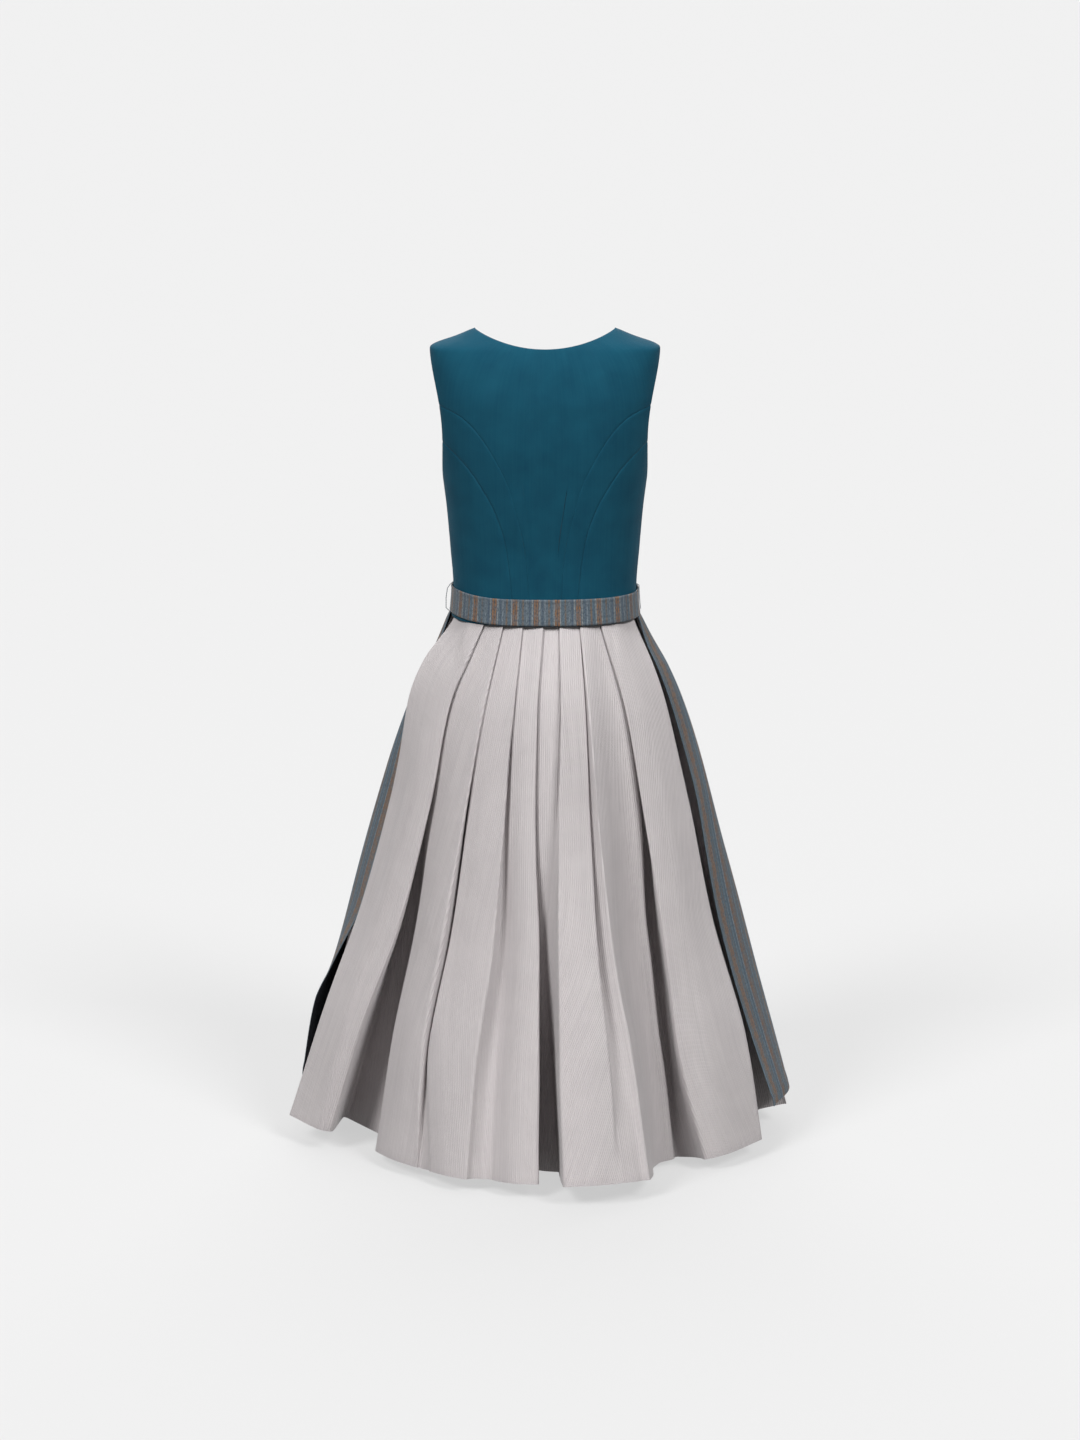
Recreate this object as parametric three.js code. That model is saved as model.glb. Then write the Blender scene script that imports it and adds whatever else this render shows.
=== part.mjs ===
import * as THREE from 'three';

// A sleeveless dress with a pleated skirt and an apron, in millimetres, +Z up.
// The origin is midway between the two neck points of the shoulders.
// -Y is the garment's back, +Y its front and -X the wearer's left.

const WALL = { bodice: 1.6, skirt: 1.2, apron: 1.2, band: 1.6 };
const SEAM_GAP = 0.3;
const SHOULDER_INSET = 0.7;

const WAIST_Z = -390;
const SKIRT_LENGTH = 747;
const SKIRT_DROP = 718;
const LAYER = 2;
// How far a panel of the back stands out between its two folds at the hem.
const PANEL_BULGE = 4;
// Shares of the skirt's length over which a fold swells out at the hips and comes back.
const HIPS = { rise: 0.08, fall: 0.2, end: 0.28 };
// Rounding of a pressed edge where the fold has opened, and how far the turned cloth is drawn under it.
const EDGE_ROUND = 3;
const EDGE_DRAW = 0.2;
// Gap between the two layers of a hidden turn, and its share of the fold's gap at the waist.
const TURN_GAP = 2.6;
const TURN_SHARE = 0.3;

const NECK_HALF = 94;
const BACK_NECK_DROP = 22;
const FRONT_NECK_DROP = 104;
const SHOULDER_TIP_Z = -26;
const UNDERARM_Z = -207;
const ARMHOLE_CUT = { back: 23, front: 27 };

const BAND_HEIGHT = 35;
const BAND_BOTTOM_Z = -388.8;
const BAND_LIFT = { height: 5, angle: -75, reach: 55 };
const BAND_LAP_ANGLE = 148;
const BAND_CLEARANCE = 2.9;
const BAND_LAP = 30;
const LAP_STEP = 2.1;

const APRON_HEM_Z = -1071;
const APRON_CLEARANCE = 2.4;
const APRON_WAVES = 9;

const APRON_STAND = 2.6;
const APRON_WAVE_DEPTH = 9;
const APRON_EDGE_SHARE = { right: 0.1, left: 0.055 };
// How far the apron stands out beside its free edges: where across it, how soon below the waist,
// and what share of that is left at the hem.
const APRON_SWELLS = [
  { name: 'right', out: 9, at: 0.06, reach: 0.06, start: 9, left: 0.3 },
  { name: 'left', out: 5, at: 0.96, reach: 0.045, start: 3, left: 1 },
];
const APRON_SPAN = { waist: [78, 276], hem: [74, 264] };

const LOOP = { thread: 1.3, stand: 5.5, foot: 1.1, head: 3, segments: 20, sides: 4 };

// Half-sizes of the bodice wall at each height.
const BODICE_SECTIONS = [
  { z: 0, side: 94, back: 26, front: 24 },
  { z: -3, side: 101, back: 33, front: 30 },
  { z: -10, side: 117, back: 45, front: 41 },
  { z: -26, side: 154, back: 64, front: 58 },
  { z: -60, side: 153, back: 82, front: 79 },
  { z: -100, side: 150, back: 92, front: 93 },
  { z: -160, side: 143, back: 96, front: 108 },
  { z: -207, side: 137, back: 95, front: 116 },
  { z: -240, side: 133, back: 94, front: 117 },
  { z: -300, side: 128, back: 91, front: 103 },
  { z: -352, side: 124.5, back: 91.5, front: 92 },
  { z: -390, side: 127, back: 96.5, front: 92 },
];
const BODICE_POWER = 2.5;

// Half-sizes of the skirt's outer folds at each height.
const SKIRT_SECTIONS = [
  { z: -390, side: 127, back: 96.5, front: 92, power: 2.5 },
  { z: -440, side: 147, back: 121, front: 112, power: 2.3 },
  { z: -500, side: 174, back: 148, front: 137, power: 2.15 },
  { z: -570, side: 198, back: 172, front: 163, power: 2.1 },
  { z: -640, side: 219, back: 194, front: 186, power: 2.05 },
  { z: -720, side: 242, back: 218, front: 210, power: 2 },
  { z: -800, side: 264, back: 240, front: 231, power: 2 },
  { z: -900, side: 290, back: 266, front: 256, power: 2 },
  { z: -1000, side: 317, back: 291, front: 279, power: 2 },
  { z: -1108, side: 345, back: 316, front: 300, power: 2 },
];

// Seams of the bodice: distance from the middle at each height, from the waist up to the armhole.
const SEAMS = {
  backInner: [
    { z: -390, x: 21 }, { z: -328, x: 23 }, { z: -289, x: 27 }, { z: -243, x: 37 }, { z: -203, x: 48 },
    { z: -168, x: 65 }, { z: -140, x: 82 }, { z: -119, x: 100 }, { z: -107, x: 117 }, { z: -98, x: 141 },
  ],
  backSide: [
    { z: -390, x: 42 }, { z: -336, x: 46 }, { z: -276, x: 54 }, { z: -234, x: 68 }, { z: -205, x: 84 },
    { z: -182, x: 100 }, { z: -165, x: 116 }, { z: -148, x: 137 },
  ],
  frontPrincess: [
    { z: -390, x: 46 }, { z: -340, x: 52 }, { z: -290, x: 68 }, { z: -240, x: 84 }, { z: -200, x: 93 },
    { z: -165, x: 102 }, { z: -138, x: 116 }, { z: -118, x: 137 },
  ],
};

// Heights at which the fold tables give a fold's distance from the middle.
const LEVELS = [-390, -500, -640, -800, -960, -1108];
// How far the skirt has swung out of the waist at each of those heights.
const FLARE = [0, 0.26, 0.45, 0.64, 0.83, 1];

// Folds of the skirt's back from the wearer's left to right. A crease gives its place in plan, and how
// many layers it lies behind the outermost at the waist, and round is how far it stands out sideways
// over the hips. A pleat gives its pressed edge, which lies on
// the panel at -X (side 1) or +X (side -1). From the second level down, open is the gap from the edge
// to the next panel, behind how far that panel starts behind the edge, and deep how far the hidden turn
// lies behind the panel on top. reach is how far the turn lies back from the edge at waist, middle and
// hem, and spread how much of the gap the turn takes up at the hem.
const BACK_FOLDS = [
  { name: 'left back', x: [-102, -148, -186, -230, -286, -329], hemY: -13, bow: 9, layer: 4.2 },
  { name: 'left under', x: [-104, -150, -188, -232, -288, -332], hemY: -16, bow: 7, layer: 2.9 },
  { name: 'left turned', x: [-123, -176, -210, -253, -309, -355], hemY: -44, bow: 3, layer: 1, round: 9 },
  { name: 'left edge', x: [-124, -180, -213, -256, -313, -361], hemY: -54, bow: -4, layer: 0, round: 9 },
  { name: 'left panel', x: [-102, -150, -186, -230, -284, -322], hemY: -92, bow: -8, layer: 0 },
  { name: 'P1', side: 1, x: [-83, -130, -158, -199, -255, -297], hemY: -103, bow: -17,
    open: [1, 5, 21, 42, 62], behind: [4.6, 6, -8, -27, -45], deep: [9, 24, 52, 70, 74],
    reach: [18, 34, 20], spread: 0.85 },
  { name: 'P2', side: 1, x: [-57, -84, -110, -139, -167, -174], hemY: -207, bow: -4,
    open: [0.5, 4, 9, 6, 16], behind: [4.6, 4, 3, -2, -16], deep: [6, 18, 34, 12, 4],
    reach: [18, 18, -4], spread: 0.6 },
  { name: 'P3', side: 1, x: [-30.6, -43, -55, -70, -94, -106], hemY: -260, bow: -4,
    open: [0.5, 6, 19, 29, 30], behind: [4.6, 3.5, 0, -4, -14], deep: [5, 8, 11, 10, 7],
    reach: [18, 4, -10], spread: 0.4 },
  { name: 'P4', side: 1, x: [-2.5, -11, -14, -9, -8.5, -8], hemY: -281, bow: -3,
    open: [-2, -4, -8, -11, -14], behind: [7, 12, 32, 75, 107], deep: [4, 6, 16, 38, 50],
    reach: [18, 14, 18], spread: 0.3 },
  { name: 'P5', side: -1, x: [20, 22, 18, 18, 18.5, 24], hemY: -314, bow: -2,
    open: [2, 6, 17, 8, 4], behind: [7, 12, 42, 92, 122], deep: [4, 6, 15, 36, 55],
    reach: [18, 0, 3], spread: 0.3 },
  { name: 'P6', side: -1, x: [47.6, 60, 72, 90, 119, 140], hemY: -284, bow: -4,
    open: [5, 8, 15, 24, 38], behind: [4, 2, -11, -18, -22], deep: [8, 15, 22, 15, 10],
    reach: [4, 3, -9], spread: 0.5 },
  { name: 'P6 return', x: [57, 79, 94, 105, 130, 146], hemY: -196, bow: -14, layer: 0.6 },
  { name: 'P6 hollow', x: [64, 92, 108, 121, 143, 158], hemY: -164, bow: -10, layer: 1.2 },
  { name: 'P7', side: -1, x: [76, 110, 135, 161, 182, 219], hemY: -180, bow: -12,
    open: [2.5, 6, 20, 20, 40], behind: [6, 12, 18, 17, 21], deep: [9, 26, 44, 42, 24],
    reach: [18, 20, 2], spread: 0.7 },
  { name: 'right panel', x: [97, 133, 166, 196, 232, 262], hemY: -158, bow: -10, layer: 0 },
  { name: 'right edge', x: [121, 163, 197, 231, 278, 302], hemY: -118, bow: -4, layer: 0, round: 2 },
  { name: 'right turned', x: [120, 161, 195, 229, 275, 299], hemY: -108, bow: 2, layer: 1, round: 2 },
  { name: 'right under', x: [103, 146, 180, 216, 262, 292], hemY: -42, bow: 5, layer: 2.9 },
  { name: 'right back', x: [101, 144, 178, 214, 260, 290], hemY: -38, bow: 8, layer: 4.2 },
];

// Pleats of the sides and front, by their angle from the middle of the back at waist and hem.
// They are laid towards the back. The first ones at the wearer's left make room for the apron's edge.
const PLEAT_BACK_ANGLE = 8;
const PLEAT_OPEN_ANGLE = 7;
const HIDDEN_OPEN_ANGLE = 1.5;
const PLEAT_LAYERS = { next: 2.2, hiddenNext: 3.6, hidden: 2.1 };
const PLEAT_SLACK = { next: 8, turned: 3 };
const MIDDLE_SLACK = 6;
const FRONT_PLEATS = {
  right: [
    { name: 'side', waist: 83, hem: 91, deep: 38 },
    { name: 'hip', waist: 106, hem: 112, deep: 34 },
    { name: 'front outer', waist: 126, hem: 132, deep: 32 },
    { name: 'front inner', waist: 146, hem: 152, deep: 32 },
  ],
  left: [
    { name: 'side', waist: 90, hem: 101, deep: 38 },
    { name: 'hip', waist: 109, hem: 118, deep: 34 },
    { name: 'front outer', waist: 127, hem: 135, deep: 32 },
    { name: 'front inner', waist: 146, hem: 152, deep: 32 },
  ],
};

// The apron's free back edges at each height.
const APRON_EDGES = {
  right: [
    { z: -390, x: 126.5, y: -27 }, { z: -430, x: 140, y: -40 }, { z: -460, x: 154, y: -44 },
    { z: -500, x: 169, y: -47 },
    { z: -560, x: 187, y: -50 }, { z: -640, x: 208, y: -59 }, { z: -720, x: 222, y: -66 },
    { z: -800, x: 237, y: -73 }, { z: -880, x: 257, y: -80 }, { z: -960, x: 281, y: -87 },
    { z: -1071, x: 318, y: -97 },
  ],
  left: [
    { z: -390, x: -128, y: -11 }, { z: -430, x: -142, y: -14 }, { z: -500, x: -168, y: -22 },
    { z: -640, x: -205, y: -26 }, { z: -760, x: -241, y: -25 }, { z: -815, x: -257, y: -21 },
    { z: -840, x: -269, y: -18 }, { z: -870, x: -284, y: -10 }, { z: -911, x: -303, y: 4 },
    { z: -960, x: -325, y: 18 }, { z: -1071, x: -345, y: 32 },
  ],
};

const COLOURS = {
  bodice: { color: 0x14495f, roughness: 0.75, metalness: 0 },
  skirt: { color: 0xb9b4b4, roughness: 0.55, metalness: 0 },
  apron: { color: 0x5f6f7a, roughness: 0.7, metalness: 0 },
  loop: { color: 0x969ca0, roughness: 0.7, metalness: 0 },
};

const radians = (degrees) => degrees * Math.PI / 180;
const mix = (a, b, t) => a + (b - a) * t;
const clamp01 = (t) => Math.min(1, Math.max(0, t));
const ease = (t) => clamp01(t) ** 2 * (3 - 2 * clamp01(t));
const signedPower = (value, power) => Math.sign(value) * Math.abs(value) ** power;

// A smooth curve through values given at falling heights, with no overshoot.
function profile(heights, values) {
  const n = heights.length;
  const slope = [];
  for (let i = 0; i < n - 1; i++) {
    slope.push((values[i + 1] - values[i]) / (heights[i + 1] - heights[i]));
  }
  const tangent = slope.map((s, i) => {
    if (i === 0) return s;
    return slope[i - 1] * s <= 0 ? 0 : 2 * slope[i - 1] * s / (slope[i - 1] + s);
  });
  tangent.push(slope[n - 2]);
  return (z) => {
    let i = 0;
    while (i < n - 2 && z < heights[i + 1]) i++;
    const span = heights[i + 1] - heights[i];
    const t = clamp01((z - heights[i]) / span);
    const t2 = t * t;
    const t3 = t2 * t;
    return (2 * t3 - 3 * t2 + 1) * values[i] + (t3 - 2 * t2 + t) * span * tangent[i]
      + (3 * t2 - 2 * t3) * values[i + 1] + (t3 - t2) * span * tangent[i + 1];
  };
}

function profileOf(rows, key) {
  return profile(rows.map((row) => row.z), rows.map((row) => row[key]));
}

const bodice = {
  side: profileOf(BODICE_SECTIONS, 'side'),
  back: profileOf(BODICE_SECTIONS, 'back'),
  front: profileOf(BODICE_SECTIONS, 'front'),
};
const skirt = {
  side: profileOf(SKIRT_SECTIONS, 'side'),
  back: profileOf(SKIRT_SECTIONS, 'back'),
  front: profileOf(SKIRT_SECTIONS, 'front'),
  power: profileOf(SKIRT_SECTIONS, 'power'),
};

// Point of a rounded section at an angle from the middle of the back, +90 at +X and 180 at the front.
function sectionPoint(sizes, power, angle, z, outward = 0) {
  const s = Math.sin(radians(angle));
  const c = Math.cos(radians(angle));
  const depth = c > 0 ? sizes.back(z) : sizes.front(z);
  const x = sizes.side(z) * signedPower(s, 2 / power);
  const y = -depth * signedPower(c, 2 / power);
  const nx = signedPower(s, 2 - 2 / power) / sizes.side(z);
  const ny = -signedPower(c, 2 - 2 / power) / depth;
  const length = Math.hypot(nx, ny);
  return new THREE.Vector3(x + nx / length * outward, y + ny / length * outward, z);
}

const bodicePoint = (angle, z, outward = 0) => sectionPoint(bodice, BODICE_POWER, angle, z, outward);
const skirtPoint = (angle, z, outward = 0) => sectionPoint(skirt, skirt.power(z), angle, z, outward);

// Angle of the point of a section that lies x from the middle.
function angleAt(sizes, power, x, z) {
  const s = Math.min(1, Math.abs(x) / sizes.side(z)) ** (power / 2);
  return Math.asin(s) * 180 / Math.PI;
}

// A closed wall of even thickness about a grid of points, rows upward and columns anticlockwise
// seen from above. Folds of up to a right angle keep their thickness. Without normals of its own
// the grid's are worked out from its neighbouring points.
function wall(name, rows, thickness, look, normals = null) {
  const height = rows.length;
  const width = rows[0].length;
  const half = thickness / 2;
  const outer = [];
  const inner = [];
  for (let j = 0; j < height; j++) {
    for (let k = 0; k < width; k++) {
      const point = rows[j][k];
      if (normals) {
        outer.push(point.clone().addScaledVector(normals[j][k], half));
        inner.push(point.clone().addScaledVector(normals[j][k], -half));
        continue;
      }
      const up = rows[Math.min(j + 1, height - 1)][k].clone().sub(rows[Math.max(j - 1, 0)][k]);
      const before = point.clone().sub(rows[j][Math.max(k - 1, 0)]);
      const after = rows[j][Math.min(k + 1, width - 1)].clone().sub(point);
      if (k === 0) before.copy(after);
      if (k === width - 1) after.copy(before);
      const n1 = before.cross(up).normalize();
      const n2 = after.cross(up).normalize();
      const miter = n1.clone().add(n2).divideScalar(Math.max(0.75, 1 + n1.dot(n2)));
      outer.push(point.clone().addScaledVector(miter, half));
      inner.push(point.clone().addScaledVector(miter, -half));
    }
  }
  const positions = [];
  for (const point of [...outer, ...inner]) positions.push(point.x, point.y, point.z);
  const index = [];
  const out = (j, k) => j * width + k;
  const inn = (j, k) => height * width + j * width + k;
  const quad = (a, b, c, d) => index.push(a, b, c, a, c, d);
  for (let j = 0; j < height - 1; j++) {
    for (let k = 0; k < width - 1; k++) {
      quad(out(j, k), out(j, k + 1), out(j + 1, k + 1), out(j + 1, k));
      quad(inn(j, k), inn(j + 1, k), inn(j + 1, k + 1), inn(j, k + 1));
    }
    quad(out(j, 0), out(j + 1, 0), inn(j + 1, 0), inn(j, 0));
    quad(out(j, width - 1), inn(j, width - 1), inn(j + 1, width - 1), out(j + 1, width - 1));
  }
  for (let k = 0; k < width - 1; k++) {
    quad(out(0, k), inn(0, k), inn(0, k + 1), out(0, k + 1));
    quad(out(height - 1, k), out(height - 1, k + 1), inn(height - 1, k + 1), inn(height - 1, k));
  }
  const geometry = new THREE.BufferGeometry();
  geometry.setAttribute('position', new THREE.Float32BufferAttribute(positions, 3));
  geometry.setIndex(index);
  geometry.computeVertexNormals();
  const mesh = new THREE.Mesh(geometry, new THREE.MeshStandardMaterial(look));
  mesh.name = name;
  return mesh;
}

// Draws the two side edges of a grid in by half a seam gap.
function openSeams(rows, gap = SEAM_GAP) {
  for (const row of rows) {
    const last = row.length - 1;
    const first = row[1].clone().sub(row[0]).setLength(gap / 2);
    const end = row[last - 1].clone().sub(row[last]).setLength(gap / 2);
    row[0].add(first);
    row[last].add(end);
  }
  return rows;
}

const mirrorRows = (rows) => rows.map((row) => row.map((p) => new THREE.Vector3(-p.x, p.y, p.z)).reverse());

const mirrorPanel = (panel) => ({ rows: mirrorRows(panel.rows), normals: mirrorRows(panel.normals) });

// Bodice

// A place on the bodice: its angle from the middle of the back and its height.
const place = (angle, z) => ({ angle, z });

function seamPlaces(seam, count, front) {
  const x = profile(seam.map((row) => row.z).reverse(), seam.map((row) => row.x).reverse());
  const top = seam[seam.length - 1].z;
  const places = [];
  let length = 0;
  const fine = [];
  const fineCount = 160;
  for (let i = 0; i <= fineCount; i++) {
    const z = mix(WAIST_Z, top, i / fineCount);
    if (i > 0) length += Math.hypot(x(z) - fine[i - 1].x, z - fine[i - 1].z);
    fine.push({ z, x: x(z), length });
  }
  for (let j = 0; j <= count; j++) {
    const target = length * j / count;
    const at = fine.findIndex((f) => f.length >= target - 1e-9);
    const angle = angleAt(bodice, BODICE_POWER, fine[at].x, fine[at].z);
    places.push(place(front ? 180 - angle : angle, fine[at].z));
  }
  return places;
}

// The armhole's edge from one height up to another, cut into the front or back.
function armholePlaces(fromZ, toZ, count, front) {
  const places = [];
  for (let j = 0; j <= count; j++) {
    const z = mix(fromZ, toZ, j / count);
    const s = clamp01((SHOULDER_TIP_Z - z) / (SHOULDER_TIP_Z - UNDERARM_Z));
    const cut = Math.sin(Math.PI * s) ** 0.75;
    places.push(place(front ? 90 + ARMHOLE_CUT.front * cut : 90 - ARMHOLE_CUT.back * cut, z));
  }
  return places;
}

// Shoulder tip, neck point, then the neckline to the middle.
function topPlaces(shoulderCount, neckCount, front) {
  const places = [];
  for (let k = 0; k < shoulderCount; k++) places.push(place(90, mix(SHOULDER_TIP_Z, 0, k / shoulderCount)));
  for (let k = 0; k <= neckCount; k++) {
    const turn = radians(90 * (k / neckCount) ** 1.5);
    const x = NECK_HALF * Math.cos(turn);
    const z = front ? -FRONT_NECK_DROP * Math.sin(turn) : -BACK_NECK_DROP * Math.sin(turn) ** 2;
    const angle = k === 0 ? 90 : angleAt(bodice, BODICE_POWER, x, z);
    places.push(place(front ? 180 - angle : angle, z));
  }
  return places;
}

function bodiceNormal(angle, z) {
  const step = 0.5;
  const across = bodicePoint(angle + step, z).sub(bodicePoint(angle - step, z));
  const up = bodicePoint(angle, z + step).sub(bodicePoint(angle, z - step));
  return across.cross(up).normalize();
}

// The place on the bodice straight outward of a point inside it.
function placeOf(point) {
  const depth = point.y < 0 ? bodice.back(point.z) : bodice.front(point.z);
  const s = signedPower(point.x / bodice.side(point.z), BODICE_POWER / 2);
  const c = -signedPower(point.y / depth, BODICE_POWER / 2);
  return place(Math.atan2(s, c) * 180 / Math.PI, point.z);
}

// A panel between four edges: left and right rise, bottom and top run anticlockwise.
function panelBetween(left, right, bottom, top) {
  const height = left.length - 1;
  const width = bottom.length - 1;
  const pointOf = (p) => bodicePoint(p.angle, p.z);
  const [l, r, b, t] = [left, right, bottom, top].map((edge) => edge.map(pointOf));
  const rows = [];
  const normals = [];
  for (let j = 0; j <= height; j++) {
    const v = j / height;
    const row = [];
    const rowNormals = [];
    for (let k = 0; k <= width; k++) {
      const u = k / width;
      const across = l[j].clone().lerp(r[j], u);
      const upward = b[k].clone().lerp(t[k], v);
      const corners = b[0].clone().lerp(b[width], u).lerp(t[0].clone().lerp(t[width], u), v);
      const at = placeOf(across.add(upward).sub(corners));
      row.push(bodicePoint(at.angle, at.z));
      rowNormals.push(bodiceNormal(at.angle, at.z));
    }
    rows.push(row);
    normals.push(rowNormals);
  }
  return { rows, normals };
}

const straight = (a, b, count) => Array.from({ length: count + 1 },
  (_, k) => place(mix(a.angle, b.angle, k / count), mix(a.z, b.z, k / count)));
const flip = (places) => places.map((p) => place(-p.angle, p.z));

// Draws the shoulder end of a grid's top row down so that front and back stay apart.
function openShoulders({ rows, normals }) {
  const top = rows[rows.length - 1];
  const below = rows[rows.length - 2];
  top.forEach((point, k) => {
    if (Math.abs(point.y) > 1e-6) return;
    point.addScaledVector(below[k].clone().sub(point).normalize(), SHOULDER_INSET);
  });
  return { rows, normals };
}

function buildBodice() {
  const seamRows = 9;
  const armRows = 6;
  const innerSeam = seamPlaces(SEAMS.backInner, seamRows, false);
  const sideSeam = seamPlaces(SEAMS.backSide, seamRows, false);
  const princess = seamPlaces(SEAMS.frontPrincess, seamRows, true);
  const underarm = straight(place(90, WAIST_Z), place(90, UNDERARM_Z), seamRows);

  const joinBack = innerSeam[seamRows];
  const backArm = armholePlaces(joinBack.z, SHOULDER_TIP_Z, armRows, false);
  backArm[0] = joinBack;
  const backRight = [...innerSeam, ...backArm.slice(1)];
  const backLeft = flip(backRight);
  const backTopRight = topPlaces(4, 5, false);
  const backTop = [...flip(backTopRight), ...backTopRight.slice(0, -1).reverse()];
  const backWaist = straight(backLeft[0], backRight[0], backTop.length - 1);

  const innerTop = armholePlaces(sideSeam[seamRows].z, joinBack.z, 3, false).reverse();
  innerTop[0] = joinBack;
  innerTop[3] = sideSeam[seamRows];
  const backSideTop = armholePlaces(UNDERARM_Z, sideSeam[seamRows].z, 5, false).reverse();
  backSideTop[0] = sideSeam[seamRows];

  const joinFront = princess[seamRows];
  const frontArm = armholePlaces(joinFront.z, SHOULDER_TIP_Z, armRows, true);
  frontArm[0] = joinFront;
  const frontSideTop = armholePlaces(UNDERARM_Z, joinFront.z, 5, true);
  frontSideTop[5] = joinFront;
  const frontEdge = [...princess, ...frontArm.slice(1)];
  const bust = place(180, -150);
  const frontMiddle = [...straight(place(180, WAIST_Z), bust, seamRows).slice(0, -1),
    ...straight(bust, place(180, -FRONT_NECK_DROP), armRows)];
  const frontTop = topPlaces(4, 8, true);
  const frontWaist = straight(frontEdge[0], frontMiddle[0], frontTop.length - 1);

  const right = {
    back_inner: panelBetween(innerSeam, sideSeam, straight(innerSeam[0], sideSeam[0], 3), innerTop),
    back_side: panelBetween(sideSeam, underarm, straight(sideSeam[0], underarm[0], 5), backSideTop),
    front_side: panelBetween(underarm, princess, straight(underarm[0], princess[0], 5), frontSideTop),
    front_center: openShoulders(panelBetween(frontEdge, frontMiddle, frontWaist, frontTop)),
  };
  const back = openShoulders(panelBetween(backLeft, backRight, backWaist, backTop));
  const panel = (name, { rows, normals }) => (
    wall(name, openSeams(rows), WALL.bodice, COLOURS.bodice, normals));
  const meshes = [panel('back_center', back)];
  for (const [name, half] of Object.entries(right)) {
    meshes.push(panel(`${name}_left`, mirrorPanel(half)));
    meshes.push(panel(`${name}_right`, half));
  }
  return meshes;
}

// Skirt

const levelOf = (t) => WAIST_Z - SKIRT_DROP * t;
const swing = profile(LEVELS, FLARE);
const bump = (t) => 4 * t * (1 - t);
// Rises just below the waist and is gone again below the hips.
const overHips = (t) => ease(t / HIPS.rise) * ease((HIPS.end - t) / HIPS.fall);
// How far the folds have opened out of their pressed layers.
const opened = (t) => ease(2 * t - 0.6);

function waistPoint(x, depth) {
  const angle = Math.sign(x) * angleAt(bodice, BODICE_POWER, x, WAIST_Z);
  return skirtPoint(angle, WAIST_Z, -depth);
}

// A line of the skirt is a function from 0 at the waist to 1 at the hem that gives its place in plan.
function tableLine({ x: xs, hemY, bow, layer = 0, round = 0 }) {
  const start = waistPoint(xs[0], layer * LAYER);
  const x = profile(LEVELS, [start.x, ...xs.slice(1)]);
  return (t) => ({
    x: x(levelOf(t)) + Math.sign(xs[0]) * round * overHips(t),
    y: mix(start.y, hemY, swing(levelOf(t))) + bow * bump(t),
  });
}

// The two lines of a fold that show: its own, and where the panel beside it starts.
function foldLines(fold) {
  const edge = tableLine(fold);
  if (!fold.side) return { fold, edge, next: edge };
  const start = waistPoint(fold.x[0], 2 * LAYER);
  const open = profile(LEVELS, [(start.x - edge(0).x) * fold.side, ...fold.open]);
  const behind = profile(LEVELS, [start.y - edge(0).y, ...fold.behind]);
  const next = (t) => ({
    x: edge(t).x + fold.side * open(levelOf(t)),
    y: edge(t).y + behind(levelOf(t)),
  });
  return { fold, edge, next };
}

// The five lines of a pleat from -X to +X. onTop is the nearest line of the panel on top.
function pleatLines({ fold, edge, next }, onTop) {
  const deep = profile(LEVELS, [LAYER, ...fold.deep]);
  const reach = profile([LEVELS[0], LEVELS[3], LEVELS[5]], fold.reach);
  const from = (t, along, inward) => {
    const p = edge(t);
    const q = onTop(t);
    const length = Math.hypot(q.x - p.x, q.y - p.y);
    const dx = (q.x - p.x) / length;
    const dy = (q.y - p.y) / length;
    return {
      x: p.x + dx * along + fold.side * dy * inward,
      y: p.y + dy * along - fold.side * dx * inward,
    };
  };
  const turned = (t) => from(t, EDGE_DRAW * EDGE_ROUND * opened(t), LAYER + EDGE_ROUND * opened(t));
  const hidden = (t) => from(t, reach(levelOf(t)), deep(levelOf(t)));
  const hiddenNext = (t) => {
    const p = hidden(t);
    const back = turned(t);
    const length = Math.hypot(p.x - back.x, p.y - back.y);
    const apart = fold.side * TURN_GAP * (1 - opened(t)) / length;
    const share = mix(TURN_SHARE, fold.spread, ease(2 * t));
    return {
      x: p.x + (next(t).x - edge(t).x) * share + (p.y - back.y) * apart,
      y: p.y + (next(t).y - edge(t).y) * share - (p.x - back.x) * apart,
    };
  };
  const lines = [edge, turned, hidden, hiddenNext, next];
  return fold.side > 0 ? lines : lines.reverse();
}

function between(a, b, share, bulge) {
  return (t) => {
    const p = a(t);
    const q = b(t);
    const length = Math.hypot(q.x - p.x, q.y - p.y) || 1;
    return {
      x: mix(p.x, q.x, share) + (q.y - p.y) / length * bulge * t,
      y: mix(p.y, q.y, share) - (q.x - p.x) / length * bulge * t,
    };
  };
}

// A line at an angle of the skirt's section, some way inside it.
function sectionLine(angle, inward) {
  return (t) => {
    const p = skirtPoint(angle(t), levelOf(t), -inward(t));
    return { x: p.x, y: p.y };
  };
}

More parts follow.
